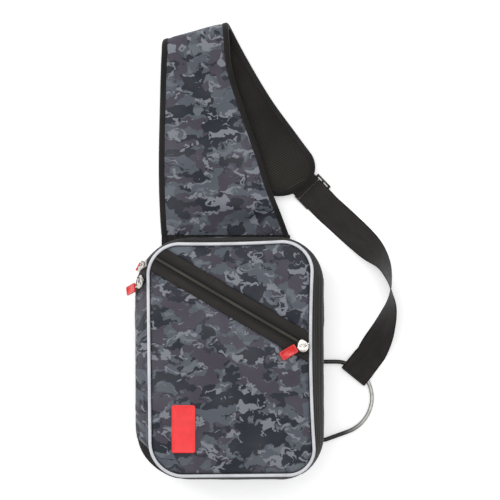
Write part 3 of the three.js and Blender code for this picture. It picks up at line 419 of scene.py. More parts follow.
rings = [(BACK * share, 0) for share in (PIN, 0.3, 0.6, 0.8, 0.9)]
rings += [(BACK - outward(BACK) * inset, level) for level, inset in BACK_RIM]
rings += [(BACK * share, BACK_RIM[-1][0]) for share in (0.8, 0.6, 0.3, PIN)]
rings = [np.column_stack([ring, np.full(LOOP, level, float)]) for ring, level in rings]
back_panel = stacked("back_panel_cloth", rings, BLACK_CLOTH)
settle(back_panel, "black_fabric", "back_panel")


# Side wall behind the zip: one band of camouflage cloth all round, bellied out in the
# middle of its depth and sewn to the back panel below.
ZIP_BOTTOM = 60
WALL_COLUMNS = 26


def wall(i, z, grow=0.0):
    """Points of the side wall at places i along the loop and heights z, moved out by grow."""
    i, z, grow = np.broadcast_arrays(np.asarray(i, float) % LOOP, z, grow)
    low = np.floor(i).astype(int) % LOOP
    high = (low + 1) % LOOP
    t = (i - np.floor(i))[..., None]
    above = (z > BELLY_HEIGHT)[..., None]
    rise = np.clip((z - BELLY_HEIGHT) / (FRONT_HEIGHT - BELLY_HEIGHT), 0, None) ** 2
    fall = np.clip((BELLY_HEIGHT - z) / BELLY_HEIGHT, 0, None) ** 1.6
    share = np.where(above[..., 0], rise, fall)[..., None]

    def corner(k):
        end = np.where(above, FRONT[k], BACK[k])
        return BELLY[k] * (1 - share) + end * share + BELLY_OUT[k] * grow[..., None]

    return np.concatenate([corner(low) * (1 - t) + corner(high) * t, z[..., None]], axis=-1)


def arc(i):
    """Length along the belly at place i, in millimetres."""
    turns = np.floor(np.asarray(i, float) / LOOP)
    return np.interp(i - turns * LOOP, np.arange(LOOP + 1), ARC) + turns * ARC[-1]


def place_at(length):
    """The place along the loop at a length along the belly."""
    turns = np.floor(np.asarray(length, float) / ARC[-1])
    return np.interp(length - turns * ARC[-1], ARC, np.arange(LOOP + 1)) + turns * LOOP


def crossing(height, where):
    """The place along the loop where a point's height passes zero, among allowed points."""
    for k in range(LOOP):
        a, b = BELLY[k], BELLY[(k + 1) % LOOP]
        if where(a) and where(b) and height(a) * height(b) <= 0:
            return k + height(a) / (height(a) - height(b))


def wall_band(name, places, heights, thick, profile, material, closed=False, print_share=1.0):
    """A band of the side wall; profile gives how far it stands out at lengths and heights.
    A print share under 1 stretches the cloth's pattern down the wall."""
    s, z = np.meshgrid(arc(places), heights, indexing="ij")
    i = np.repeat(np.asarray(places, float)[:, None], len(heights), axis=1)
    out = profile(s, z)
    return two_faced(name, wall(i, z, out), wall(i, z, np.minimum(out, 0) - thick), s, z * print_share,
                     material, ARC[-1] if closed else 0)


# Camouflage print: ragged overlapping patches in five greys, with pale broken splashes
CAMO_GREYS = {
    "mauve": shade(67, 63, 74),
    "deep_mauve": shade(50, 49, 59),
    "blue": shade(82, 88, 97),
    "pale_blue": shade(99, 105, 113),
    "slate": shade(32, 37, 46),
    "splash": shade(124, 127, 135),
}


def camouflage(name, stretched):
    finish = Finish(name, 0.75, 0.3, (0.1, 0.4))
    flat = finish.cloth()
    wide = finish.cloth(stretched)

    def rough(field, amount, size, shift):
        ragged = finish.noise(flat, size, detail=1, shift=shift, output="Color")
        centred = finish.node("ShaderNodeVectorMath", {"operation": "SUBTRACT"}, {0: ragged, 1: (0.5,) * 3})
        return finish.node("ShaderNodeVectorMath", {"operation": "MULTIPLY_ADD"}, {
            0: centred, 1: (amount,) * 3, 2: field})

    warped = rough(rough(wide, 20, 15, 3.1), 4.5, 4, 7.7)

    def patch(size, shift, low, soft=0.006, detail=1.5):
        return finish.noise(warped, size, detail, shift).step(low - soft, low + soft)

    def streak(size, shift, width):
        return abs(finish.noise(warped, size, 1, shift) - 0.5).step(width + 0.006, width)

    limbs = streak(14, 6.3, 0.024) * patch(13, 3.9, 0.55, detail=1)
    layers = [
        (patch(20, 1.3, 0.54), "deep_mauve"), (patch(20, 5.2, 0.475), "blue"),
        (patch(16, 2.6, 0.55) * patch(20, 5.2, 0.52), "pale_blue"), (patch(18, 9.4, 0.535), "slate"),
        (streak(22, 4.4, 0.012) * patch(22, 8.1, 0.52), "slate"),
        (limbs.larger(patch(12, 3.9, 0.635, detail=1)), "splash")]
    colour = CAMO_GREYS["mauve"]
    for where, grey in layers:
        colour = finish.mix(where, colour, CAMO_GREYS[grey])
    worn = finish.noise(flat, 60, 5, 2.2)
    colour = finish.mix(worn.step(0.3, 0.8) * 0.12, colour, shade(150, 150, 156))
    across, up, _ = finish.parts(flat)
    pull = finish.noise(finish.cloth((1, 0.5)), 14, 3, 5)
    return finish.coat(colour, across.waves(0.8) * up.waves(0.8), 0.05, finish.bump(pull, 0.5))


CAMOUFLAGE = camouflage("camouflage_cloth", (0.62, 1))
SIDE_CAMOUFLAGE = camouflage("side_camouflage_cloth", (1.25, 1))
SIDE_PRINT = 0.6


def side_folds(s, z):
    """Slack of the side cloth: soft upright buckles, none at the sewn edges."""
    free = ease(z / 18) * ease((ZIP_BOTTOM - z) / 10)
    return free * (1.8 * rumple(s, z * 0.6, 34, 4.0) + 0.9 * rumple(s, z * 0.5, 13, 9.0) - 0.6)


gusset_heights = np.linspace(2.9, ZIP_BOTTOM - CLEARANCE, WALL_COLUMNS)
rear_gusset = wall_band(
    "rear_gusset_cloth", np.arange(LOOP), gusset_heights, GUSSET_WALL, side_folds, SIDE_CAMOUFLAGE,
    closed=True, print_share=SIDE_PRINT)
settle(rear_gusset, "camouflage_fabric", "rear_gusset")


# Main zip: two woven tapes and a nylon coil, sewn in along the side wall from the left side
# over the top and down the right. The rear tape has a doubled edge.
PIPING_RADIUS = 2.35
ZIP_TOP = FRONT_HEIGHT - PIPING_RADIUS - CLEARANCE
COIL_TOP = 84.6
COIL_BOTTOM = 80.6
ZIP_START_Y = 79
ZIP_END_X = 92
BLACK_START_Y = -100
END_TAB = 6
BAND_STEP = 3.0

zip_start = crossing(lambda p: p[1] - ZIP_START_Y, lambda p: p[0] < 0) - LOOP
black_start = crossing(lambda p: p[1] - BLACK_START_Y, lambda p: p[0] < 0) - LOOP
zip_end = crossing(lambda p: p[0] - ZIP_END_X, lambda p: p[1] < 0)


def stretch(first, last, gap_first=0.0, gap_last=0.0, step=BAND_STEP):
    """Places along the loop between two places, `step` apart, short of each by a gap."""
    low, high = arc(first) + gap_first, arc(last) - gap_last
    return place_at(np.linspace(low, high, int((high - low) / step) + 2))


def tape(name, colour, painted_shade_band=None):
    """Zip tape: close ribs along its length and a slightly shiny weave. A painted shade band gives
    the widths between which it goes from painted shade, in the groove beside the coil's ridge, over into its
    own colour."""
    finish = Finish(name, 0.6, 0.3, (0.08, 0.4))
    along, over, _ = finish.parts(finish.cloth())
    look = finish.worn(12, colour, [c * 1.28 for c in colour], stretch=0.3)
    if painted_shade_band:
        # Painted shade: the tape goes dark in the groove beside the coil's ridge
        look = finish.mix(abs(over).step(*painted_shade_band), shade(17, 15, 14), look)
    return finish.coat(look, over.waves(1.3) + along.waves(0.7) * 0.4, 0.12)


ZIP_TAPE = tape("zip_tape_weave", (27, 25, 24))
# Folds of the rear tape's covering, by the coil and at its seam: height, width and how far out
TAPE_FOLDS = [(77.5, 1.6, 1.0), (70.0, 2.6, 1.1)]


def ridge(where, middle, width):
    """A rounded ridge of height 1 at a middle, which falls to a third a width away."""
    return np.exp(-((where - middle) / width) ** 2)


def doubled_edge(s, z):
    fold = sum(out * ridge(z, height, width) for height, width, out in TAPE_FOLDS)
    return fold + 0.5 * rumple(s, z, 30, 2.0) * ease((z - ZIP_BOTTOM) / 4)


rear_tape = wall_band(
    "rear_tape", stretch(zip_start, zip_end, END_TAB),
    np.linspace(ZIP_BOTTOM, COIL_BOTTOM - CLEARANCE, 16), CLOTH, doubled_edge, ZIP_TAPE)
settle(rear_tape, "zip_tape", "zip_tape_rear")
front_tape = wall_band(
    "front_tape", stretch(zip_start, zip_end, END_TAB),
    np.linspace(COIL_TOP + CLEARANCE, ZIP_TOP, 5), CLOTH, lambda s, z: 0.25 * np.sin(z * 3), ZIP_TAPE)
settle(front_tape, "zip_tape", "zip_tape_front")


# Zip teeth: each turn of the coil is one small oval bead across the tapes. A row of them
# follows a line of points that also carries which way is up.
TOOTH_PITCH = 1.5
# A tooth's length along the coil, width across it and height
TOOTH = (0.95, 2.6, 1.7)


def bead(name, length, width, height, rings=5, sides=8):
    """A small oval bead, long along X."""
    mesh = bpy.data.meshes.new(name)
    with editing(mesh) as work:
        bmesh.ops.create_uvsphere(work, u_segments=sides, v_segments=rings, radius=MM / 2)
        for vert in work.verts:
            vert.co = Vector((vert.co.z * length, vert.co.x * width, vert.co.y * height))
    mesh.polygons.foreach_set("use_smooth", [True] * len(mesh.polygons))
    return put(name, mesh)


def row_tree():
    """Geometry Nodes tree that lays copies of an item along a line, a pitch apart."""
    tree = bpy.data.node_groups.new("row_of_items", "GeometryNodeTree")
    for name, kind in (("Line", "Geometry"), ("Item", "Object"), ("Pitch", "Float"), ("Look", "Material")):
        tree.interface.new_socket(name, in_out="INPUT", socket_type=f"NodeSocket{kind}")
    tree.interface.new_socket("Row", in_out="OUTPUT", socket_type="NodeSocketGeometry")

    def node(kind, settings=None, sockets=None):
        return add_node(tree, kind, settings, sockets)

    given = node("NodeGroupInput").outputs
    curve = node("GeometryNodeMeshToCurve", sockets={"Mesh": given["Line"]}).outputs["Curve"]
    spots = node("GeometryNodeCurveToPoints", {"mode": "LENGTH"}, {"Curve": curve, "Length": given["Pitch"]})
    up = node("GeometryNodeInputNamedAttribute", {"data_type": "FLOAT_VECTOR"}, {"Name": "up"})
    turn = node("FunctionNodeAxesToRotation", {"primary_axis": "Z", "secondary_axis": "X"}, {
        "Primary Axis": up.outputs["Attribute"], "Secondary Axis": spots.outputs["Tangent"]})
    item = node("GeometryNodeObjectInfo", sockets={"Object": given["Item"], "As Instance": True})
    copies = node("GeometryNodeInstanceOnPoints", sockets={
        "Points": spots.outputs["Points"], "Instance": item.outputs["Geometry"],
        "Rotation": turn.outputs["Rotation"]})
    real = node("GeometryNodeRealizeInstances", sockets={"Geometry": copies.outputs["Instances"]})
    painted = node("GeometryNodeSetMaterial", sockets={
        "Geometry": real.outputs["Geometry"], "Material": given["Look"]})
    node("NodeGroupOutput", sockets={"Row": painted.outputs["Geometry"]})
    return tree


ROW_TREE = row_tree()


def row_of(name, lines, item, pitch, material):
    """Copies of item along lines of (points, ups), as one plain mesh object."""
    points, ups, edges = [], [], []
    for line, up in lines:
        edges += [(len(points) + k, len(points) + k + 1) for k in range(len(line) - 1)]
        points += (np.asarray(line) * MM).tolist()
        ups += np.broadcast_to(up, np.shape(line)).tolist()
    mesh = bpy.data.meshes.new(name + "_line")
    mesh.from_pydata(points, edges, [])
    mesh.attributes.new("up", "FLOAT_VECTOR", "POINT").data.foreach_set("vector", np.ravel(ups))
    row = put(name, mesh)
    modifier = row.modifiers.new("row", "NODES")
    modifier.node_group = ROW_TREE
    sockets = {s.name: s.identifier for s in ROW_TREE.interface.items_tree if s.in_out == "INPUT"}
    modifier[sockets["Item"]] = item
    modifier[sockets["Pitch"]] = pitch * MM
    modifier[sockets["Look"]] = material
    bpy.context.view_layer.update()
    ready = row.evaluated_get(bpy.context.evaluated_depsgraph_get())
    plain = bpy.data.meshes.new_from_object(ready)
    row.modifiers.clear()
    row.data = plain
    bpy.data.objects.remove(item)
    return row


def coil_plastic(name):
    """Dark nylon with a faint gloss and a slight unevenness from turn to turn."""
    finish = Finish(name, 0.42, 0.4)
    speck = finish.noise(finish.place(), 1.7, 2)
    return finish.coat(finish.mix(speck, shade(34, 32, 30), shade(60, 56, 51)), speck, 0.1)


COIL_PLASTIC = coil_plastic("coil_plastic")

coil_places = stretch(zip_start, zip_end, END_TAB)
coil_bed = wall_band(
    "coil_bed", coil_places, np.linspace(COIL_BOTTOM, COIL_TOP, 7), CLOTH,
    lambda s, z: 0.45 - 0.35 * ridge(z, (COIL_TOP + COIL_BOTTOM) / 2, 0.5), COIL_PLASTIC)
settle(coil_bed, "zip_coil", "zip_coil")


def wall_ups(i, z):
    """Outward directions of the side wall at places i and height z."""
    ahead = wall(i + 0.05, z) - wall(i - 0.05, z)
    rise = wall(i, z + 0.5) - wall(i, z - 0.5)
    return unit(np.cross(rise, ahead))


TURNS_INSET = 1.1
for name, height in (("front", COIL_TOP - TURNS_INSET), ("rear", COIL_BOTTOM + TURNS_INSET)):
    line = (wall(coil_places, height, 0.5), wall_ups(coil_places, height))
    teeth = row_of(f"coil_turns_{name}", [line], bead("tooth", *TOOTH), TOOTH_PITCH, COIL_PLASTIC)
    settle(teeth, "zip_coil", "zip_coil")


# Zip end tab and the two strips that carry on the zip's line: camouflage down the left side,
# black round the lower left corner and along the bottom.
end_tab = wall_band(
    "zip_end_tab_cloth", stretch(zip_start, place_at(arc(zip_start) + END_TAB), 0, CLEARANCE, 0.8),
    np.linspace(ZIP_BOTTOM, ZIP_TOP, 12), CLOTH, lambda s, z: 0.3 * np.sin(s * 2.1), BLACK_CLOTH)
settle(end_tab, "black_fabric", "zip_end_tab")


# Sewn seams along the left strip: height and depth
STRIP_SEAMS = [(83.6, 0.9), (68.5, 0.8)]


def slack(z):
    """How free the strips' cloth is at a height: 0 at their sewn edges, 1 a little inside."""
    return ease((z - ZIP_BOTTOM) / 3) * ease((ZIP_TOP - z) / 3)


def strip_seams(s, z):
    seam = sum(deep * ridge(z, height, 0.5) for height, deep in STRIP_SEAMS)
    return 0.5 - seam + slack(z) * 1.6 * rumple(s, z, 22, 6.0)


side_strip = wall_band(
    "side_strip_cloth", stretch(black_start, zip_start, 0, CLEARANCE),
    np.linspace(ZIP_BOTTOM, ZIP_TOP, 30), CLOTH, strip_seams, SIDE_CAMOUFLAGE,
    print_share=SIDE_PRINT)
settle(side_strip, "camouflage_fabric", "side_strip")


def pleats(s, z):
    """The bottom strip: gathers at the lower left corner that die away along the bottom."""
    from_corner = ARC[-1] + arc(black_start) - s
    gathered = 1.3 * ridge(from_corner, 35, 45) * np.sin(z * 1.25 + 0.02 * s)
    return slack(z) * (gathered + 1.2 * rumple(s, z, 26, 8.0)) + 0.3


bottom_strip = wall_band(
    "bottom_strip_cloth", stretch(zip_end, black_start + LOOP, CLEARANCE, CLEARANCE),
    np.linspace(ZIP_BOTTOM, ZIP_TOP, 30), CLOTH, pleats, BLACK_CLOTH)
settle(bottom_strip, "black_fabric", "bottom_strip")


# Piping: a round cord in light grey satin cloth, sewn in all round the front's edge
PIPING_SIDES = 18
PIPING_ROUND = PIPING_RADIUS - 0.3


def satin(name):
    """Light grey satin with a fine slanting twill."""
    finish = Finish(name, 0.38, sheen=(0.2, 0.5))
    along, around, _ = finish.parts(finish.cloth())
    look = finish.worn(18, (226, 227, 233), (204, 206, 212))
    return finish.coat(look, (along + around * 0.9).waves(1.1), 0.09)


SATIN = satin("piping_satin")
settle(round_bar("front_piping_cord", FRONT, FRONT_HEIGHT, PIPING_ROUND, PIPING_SIDES, SATIN),
       "piping", "front_piping")


# Front: two panels of camouflage cloth over a thin padding, crowned, and parted by the
# slanting pocket zip. Their edges roll down into the seams.
CROWN = 8
PANEL_WALL = 2.0
POCKET_ANGLE = math.radians(-30.3)
POCKET_POINT = np.array([-6, 77.6])
POCKET_WIDTH = 33
POCKET_COIL = 4.6
POCKET_SUNK = 0.7
SEAM_ROLL = 4.5
SEAM_DROP = 2.0
POCKET_ALONG = direction(POCKET_ANGLE)
POCKET_ASIDE = left_of(POCKET_ALONG)
SEAM_INSET = PIPING_RADIUS + CLEARANCE
SEAM_LINE = FRONT - outward(FRONT) * SEAM_INSET


def front_height(x, y):
    """Height of the crowned front, at the outside of its cloth."""
    (left, _, _), (right, high, _), (_, bottom, _), _ = CORNERS["front"]
    across = np.abs((x - (left + right) / 2) / ((right - left) / 2))
    up = np.abs((y - (high + bottom) / 2) / ((high - bottom) / 2))
    return FRONT_HEIGHT + CROWN * np.clip(1 - across ** 2.6, 0, None) * np.clip(1 - up ** 2.6, 0, None)


def edge_distance(points):
    """Distance of flat points from the front's seam line."""
    nearest = np.full(len(points), np.inf)
    for start, end in zip(SEAM_LINE, np.roll(SEAM_LINE, -1, axis=0)):
        side = end - start
        t = np.clip(((points - start) @ side) / (side @ side), 0, 1)
        nearest = np.minimum(nearest, np.linalg.norm(points - start - t[:, None] * side, axis=1))
    return nearest


def front_panel(name, way, material):
    """One front panel: the crowned sheet on one side of the pocket zip."""
    shares = [1, 0.99, 0.98, 0.968, 0.95, *np.linspace(0.92, 0.04, 34)]
    middle = SEAM_LINE.mean(axis=0)
    points = np.concatenate([middle + (SEAM_LINE - middle) * share for share in shares] + [middle[None]])
    faces = []
    for k in range(len(shares) - 1):
        for j in range(LOOP):
            after = (j + 1) % LOOP
            faces.append((k * LOOP + j, k * LOOP + after, (k + 1) * LOOP + after, (k + 1) * LOOP + j))
    rim = (len(shares) - 1) * LOOP
    faces += [(rim + j, rim + (j + 1) % LOOP, len(points) - 1) for j in range(LOOP)]
    mesh = bpy.data.meshes.new(name)
    mesh.from_pydata(np.column_stack([points, np.zeros(len(points))]).tolist(), [], faces)
    aside = Vector((*POCKET_ASIDE, 0)) * way
    edge = POCKET_WIDTH / 2 + CLEARANCE
    with editing(mesh) as work:
        for extra in (0, 0.7, 1.5, 2.5, SEAM_ROLL):
            line = Vector((*POCKET_POINT, 0)) + aside * (edge + extra)
            bmesh.ops.bisect_plane(work, geom=work.verts[:] + work.edges[:] + work.faces[:], plane_co=line,
                                   plane_no=aside, clear_inner=extra == 0, dist=1e-4)
    flat = np.array([v.co[:2] for v in mesh.vertices])
    from_zip = ((flat - POCKET_POINT) @ POCKET_ASIDE) * way - edge
    near = np.minimum(edge_distance(flat), from_zip)
    drop = SEAM_DROP * (1 - ease(near / SEAM_ROLL)) ** 2
    uneven = 0.9 * rumple(*flat.T, 55, 1.0) + 0.35 * rumple(*flat.T, 17, 3.0)
    height = front_height(*flat.T) - drop + uneven * ease(near / 14)
    coords = np.column_stack([flat, height]) * MM
    mesh.vertices.foreach_set("co", coords.ravel())
    layer = mesh.uv_layers.new(name="cloth")
    ends = np.array([loop.vertex_index for loop in mesh.loops])
    layer.data.foreach_set("uv", (flat[ends] * MM).ravel())
    piece = finished(name, mesh, material)
    if np.mean([p.normal.z for p in mesh.polygons]) < 0:
        mesh.flip_normals()
    solid = piece.modifiers.new("thickness", "SOLIDIFY")
    solid.thickness = PANEL_WALL * MM
    solid.offset = -1
    return piece


POCKET_SIDES = {"upper": 1, "lower": -1}
for name, way in POCKET_SIDES.items():
    settle(front_panel(f"front_cloth_{name}", way, CAMOUFLAGE), "camouflage_fabric", f"front_panel_{name}")


# Pocket zip: two broad black tapes across the front, a little below the camouflage cloth. Its
# coil is on the inside, so a smooth ridge of tape shows between them.
SEAM_ALONG = (SEAM_LINE - POCKET_POINT) @ POCKET_ALONG
SEAM_ASIDE = (SEAM_LINE - POCKET_POINT) @ POCKET_ASIDE


def pocket_span(v):
    """Where the line `v` beside the pocket zip's middle meets the front's seam, from end to end."""
    a, b = SEAM_ASIDE - v, np.roll(SEAM_ASIDE, -1) - v
    hit = a * b <= 0
    t = a[hit] / (a[hit] - b[hit])
    u = SEAM_ALONG[hit] * (1 - t) + np.roll(SEAM_ALONG, -1)[hit] * t
    return u.min(), u.max()


def pocket_band(name, offsets, rise, thick, material, steps=90):
    """A band along the pocket zip; rise gives how far it stands above the tapes' level."""
    spans = np.array([pocket_span(v) for v in offsets])
    t = np.linspace(0, 1, steps)[:, None]
    u = spans[:, 0] * (1 - t) + spans[:, 1] * t
    v = np.broadcast_to(offsets, u.shape)
    x, y = np.moveaxis(POCKET_POINT + u[..., None] * POCKET_ALONG + v[..., None] * POCKET_ASIDE, -1, 0)
    level = front_height(x, y) - POCKET_SUNK
    outer, inner = [np.stack([x, y, z], axis=-1) for z in (level + rise(u, v), level - thick)]
    return two_faced(name, outer, inner, u, v, material)


def tape_rise(u, v):
    """A tape lies flat, with a fold beside the coil and a shallow hollow by its outer seam."""
    fold = 0.75 * ridge(np.abs(v), POCKET_COIL, 1.1)
    hollow = 0.35 * ridge(np.abs(v), POCKET_WIDTH / 2 - 1.3, 0.8)
    return fold - hollow + 0.5 * rumple(u, v * 3, 38, 5.0)


# The pocket tapes darken towards the coil: painted shade in the grooves beside its ridge
POCKET_TAPE = tape("pocket_tape_painted_shade_weave", (36, 33, 31), (2.4, 10))
for name, way in POCKET_SIDES.items():
    offsets = way * np.linspace(POCKET_COIL / 2 + CLEARANCE, POCKET_WIDTH / 2, 20)
    piece = pocket_band(f"pocket_tape_{name}_cloth", offsets, tape_rise, CLOTH, POCKET_TAPE)
    settle(piece, "zip_tape", f"pocket_tape_{name}")
RIDGE = 1.1
# The ridge's lighter colour is a painted highlight along its top, and its darker edges are painted shade in
# the grooves beside it
pocket_bed = pocket_band(
    "pocket_coil_ridge", np.linspace(-POCKET_COIL / 2, POCKET_COIL / 2, 15),
    lambda u, v: RIDGE * (1 - np.abs(2 * v / POCKET_COIL) ** 4) - 0.1, CLOTH,
    tape("ridge_painted_highlight_and_shade_weave", (58, 54, 49), (2.2, 1.5)))
settle(pocket_bed, "zip_coil", "pocket_coil")


# Label: a bare red moulded patch with a raised border, sewn on at the lower left
LABEL = {"width": 30, "height": 61, "thick": 1.1, "field": 0.65, "corner": 3, "x": -58.2, "y": -88.2}
label_loop = rounded_loop(
    [(x * LABEL["width"] / 2, y * LABEL["height"] / 2, LABEL["corner"])
     for x, y in ((-1, 1), (1, 1), (1, -1), (-1, -1))], 8, 16)
# The patch's rim from below its border to its sunk field, as distance in and height
LABEL_RIM = [(0, 0), (0, 0.75), (0.25, 1.0), (0.7, LABEL["thick"]), (1.5, LABEL["thick"]), (1.9, 0.75),
             (2.3, LABEL["field"])]
rings = [(label_loop - outward(label_loop) * inset, rise) for inset, rise in LABEL_RIM]
rings += [(label_loop * 0.5, LABEL["field"]), (label_loop * PIN, LABEL["field"]), (label_loop * PIN, 0)]
rings = [(ring + (LABEL["x"], LABEL["y"]), rise) for ring, rise in rings]
label_rings = [np.column_stack([ring, front_height(*ring.T) + CLEARANCE + rise]) for ring, rise in rings]


def red_plastic(name, colour, roughness, coat):
    """Moulded soft plastic, faintly clouded and grained."""
    finish = Finish(name, roughness, Coat_Weight=coat, Coat_Roughness=0.15)
    cloud = finish.noise(finish.place(), 9, 4)
    look = finish.mix(cloud.step(0.35, 0.8), shade(*colour), shade(*[c * 0.94 for c in colour]))
    return finish.coat(look, finish.noise(finish.place(), 0.5, 2), 0.03)


LABEL_RED = red_plastic("label_red", (248, 52, 55), 0.55, 0.08)
settle(stacked("label_patch", label_rings, LABEL_RED), "label", "label")


# Shoulder strap. The flat cloth is measured from its lower end; it folds over a slanted
# line near the top, so its far half lies underneath with the mesh side up.
STRAP = {
    "start": HALF_HEIGHT + 2.9, "length": 517, "pad_end": 59.2, "middle": -45, "half": 45, "thick": 9,
    "face": 1.5, "binding": 8, "left_round": 52, "right_round": 32, "fold_angle": 15, "fold_inner": 5,
    "fold_run": 75, "sag_from": 30, "sag": 60, "root_run": 42,
}
STRAP_ROWS = np.array([
    (0, -1.0, 2.72), (0.05, -1.04, 2.5), (0.12, -1.07, 2.18), (0.2, -1.075, 1.9), (0.32, -1.04, 1.42),
    (0.42, -1.0, 1.07), (0.5, -0.955, 0.98), (0.62, -0.9, 0.9), (0.76, -0.9, 0.91), (0.87, -0.9, 1.04),
    (1, -0.9, 1.2)])
PAD_LIFT = 6.3
PAD_LIFT_RUN = 45
PAD_TAB = 12


def smooth_table(rows, column, at):
    """Smooth curve through a table's rows, read at `at` of its first column."""
    keys, values = rows[:, 0], rows[:, column]
    wide, high = np.concatenate([rows[:1], rows, rows[-1:]])[:, [0, column]].T
    slopes = (high[2:] - high[:-2]) / (wide[2:] - wide[:-2])
    i = np.clip(np.searchsorted(keys, at) - 1, 0, len(keys) - 2)
    gap = keys[i + 1] - keys[i]
    t = np.clip((at - keys[i]) / gap, 0, 1)
    start = (2 * t ** 3 - 3 * t ** 2 + 1) * values[i] + (t ** 3 - 2 * t ** 2 + t) * gap * slopes[i]
    end = (-2 * t ** 3 + 3 * t ** 2) * values[i + 1] + (t ** 3 - t ** 2) * gap * slopes[i + 1]
    return start + end


SIDES = {"left": {"column": 1, "inward": 1, "round": STRAP["left_round"]},
         "right": {"column": 2, "inward": -1, "round": STRAP["right_round"]}}
STRAP_END = STRAP["start"] + STRAP["length"]


def strap_edge(side, y, inset=0.0):
    """X of the flat cloth's edge at y, `inset` in from its outline."""
    y = np.asarray(y, float)
    turn = SIDES[side]["round"]
    share = np.clip((np.minimum(y, STRAP_END - turn) - STRAP["start"]) / STRAP["length"], 0, 1)
    row = STRAP["middle"] + STRAP["half"] * smooth_table(STRAP_ROWS, SIDES[side]["column"], share)
    past = np.clip(y - (STRAP_END - turn), 0, None)
    curve = turn - np.sqrt(np.clip((turn - inset) ** 2 - past ** 2, 0, None))
    return row + SIDES[side]["inward"] * curve


fold_angle = math.radians(STRAP["fold_angle"])
FOLD_ACROSS = left_of(direction(fold_angle))
# The strap lies this far above the ground
GROUND_GAP = 0.1
LOW_MIDDLE = STRAP["thick"] / 2 + GROUND_GAP
FOLD_RADIUS = STRAP["fold_inner"] + STRAP["thick"] / 2
HALF_TURN = math.pi * FOLD_RADIUS
PAD_END_X = (strap_edge("left", STRAP_END) + strap_edge("right", STRAP_END)) / 2
END_PAST = (HALF_TURN + (STRAP["length"] - STRAP["pad_end"]) / FOLD_ACROSS[1]) / 2
PAD_END_PLAN = np.array([PAD_END_X, STRAP_END]) + FOLD_ACROSS * (HALF_TURN - 2 * END_PAST)


def past_fold(x, y):
    return END_PAST + (x - PAD_END_X) * FOLD_ACROSS[0] + (y - STRAP_END) * FOLD_ACROSS[1]


def pad_lift(y):
    return PAD_LIFT * ease(1 - (STRAP_END - 2.2 * PAD_TAB - y) / PAD_LIFT_RUN)


def upper_height(x, y):
    """Height of the upper run's middle: on the lower run, and down to the ground beside it."""
    past = past_fold(x, y)
    under_x = x + FOLD_ACROSS[0] * (HALF_TURN - 2 * past)
    under_y = y + FOLD_ACROSS[1] * (HALF_TURN - 2 * past)
    aside = np.maximum.reduce([
        strap_edge("left", under_y) - under_x, under_x - strap_edge("right", under_y),
        under_y - STRAP_END, np.zeros_like(past)])
    full = STRAP["thick"] + 2 * CLEARANCE + pad_lift(under_y)
    near = ease(1 + past / STRAP["fold_run"])
    held = 1 - ease((aside - STRAP["sag_from"]) / STRAP["sag"])
    risen = ease((y - STRAP["start"]) / STRAP["root_run"])
    return LOW_MIDDLE + (full * (1 - near) + 2 * FOLD_RADIUS * near) * held * risen


def strap_point(x, y, h):
    """Points of the strap: x and y on the flat cloth, h towards its camouflage side."""
    x, y, h = np.broadcast_arrays(*[np.asarray(a, float) for a in (x, y, h)])
    past = past_fold(x, y)
    radius = FOLD_RADIUS
    flat = np.stack([x, y, upper_height(x, y) + h], axis=-1)
    foot = np.stack([x, y], axis=-1) - past[..., None] * FOLD_ACROSS
    angle = np.clip(past / radius, 0, math.pi)
    out = radius + h
    rolled = np.concatenate([foot + (out * np.sin(angle))[..., None] * FOLD_ACROSS,
                             (LOW_MIDDLE + radius + out * np.cos(angle))[..., None]], axis=-1)
    under = np.concatenate([foot + (HALF_TURN - past)[..., None] * FOLD_ACROSS,
                            (LOW_MIDDLE + pad_lift(y) - h)[..., None]], axis=-1)
    turned = np.where((past < HALF_TURN)[..., None], rolled, under)
    points = np.where((past <= 0)[..., None], flat, turned)
    points[..., 2] = np.maximum(points[..., 2], GROUND_GAP)
    return points


SLANT = math.tan(fold_angle)
FOLD_Y = STRAP_END - past_fold(STRAP["middle"], STRAP_END) / FOLD_ACROSS[1]
FOLD_SPAN = HALF_TURN / math.cos(fold_angle)
STATIONS = np.concatenate([
    np.linspace(STRAP["start"], FOLD_Y - 3, 84), np.linspace(FOLD_Y, FOLD_Y + FOLD_SPAN, 20),
    np.linspace(FOLD_Y + FOLD_SPAN + 3, STRAP_END - STRAP["left_round"], 56)])


def station_edge(side, station, inset):
    """Where stations across the cloth meet an edge; near the fold they run parallel to it."""
    slant = SLANT * ease(1 - (np.abs(station - FOLD_Y - FOLD_SPAN / 2) - FOLD_SPAN) / STRAP["fold_run"])
    x = np.full_like(station, STRAP["middle"])
    for _ in range(5):
        y = station + slant * (x - STRAP["middle"])
        x = strap_edge(side, y, inset)
    return x, station + slant * (x - STRAP["middle"])


def strap_sheet(name, inset, columns, top, bottom, material):
    """A layer of the strap; top and bottom give its faces' h at flat places x and y, near the edge."""
    turn = STRAP["left_round"]
    last = STRAP_END - inset
    rounding = STRAP_END - turn + (last - STRAP_END + turn) * np.sin(np.linspace(0, np.pi / 2, 22)[1:])
    stations = np.concatenate([STATIONS, rounding])
    left = station_edge("left", stations, inset)
    right = station_edge("right", stations, inset)
    t = (1 - np.cos(np.linspace(0, np.pi, columns + 1))) / 2 * 0.5 + np.linspace(0, 1, columns + 1) * 0.5
    x = left[0][:, None] * (1 - t) + right[0][:, None] * t
    y = left[1][:, None] * (1 - t) + right[1][:, None] * t
    near = np.minimum(t * (right[0] - left[0])[:, None], (1 - t) * (right[0] - left[0])[:, None])
    near = np.minimum(near, np.maximum(last - y, 0))
    outer, inner = [strap_point(x, y, face(x, y, near)) for face in (top, bottom)]
    return two_faced(name, outer, inner, x, y, material, sharp=60)


HALF_STRAP = STRAP["thick"] / 2
# How far the layers reach under the binding's edge, so that no gap shows between them
TUCKED = 0.3
# Gathers of the strap's lower end, in radians of a wave per millimetre across
GATHER_RATE = 0.95


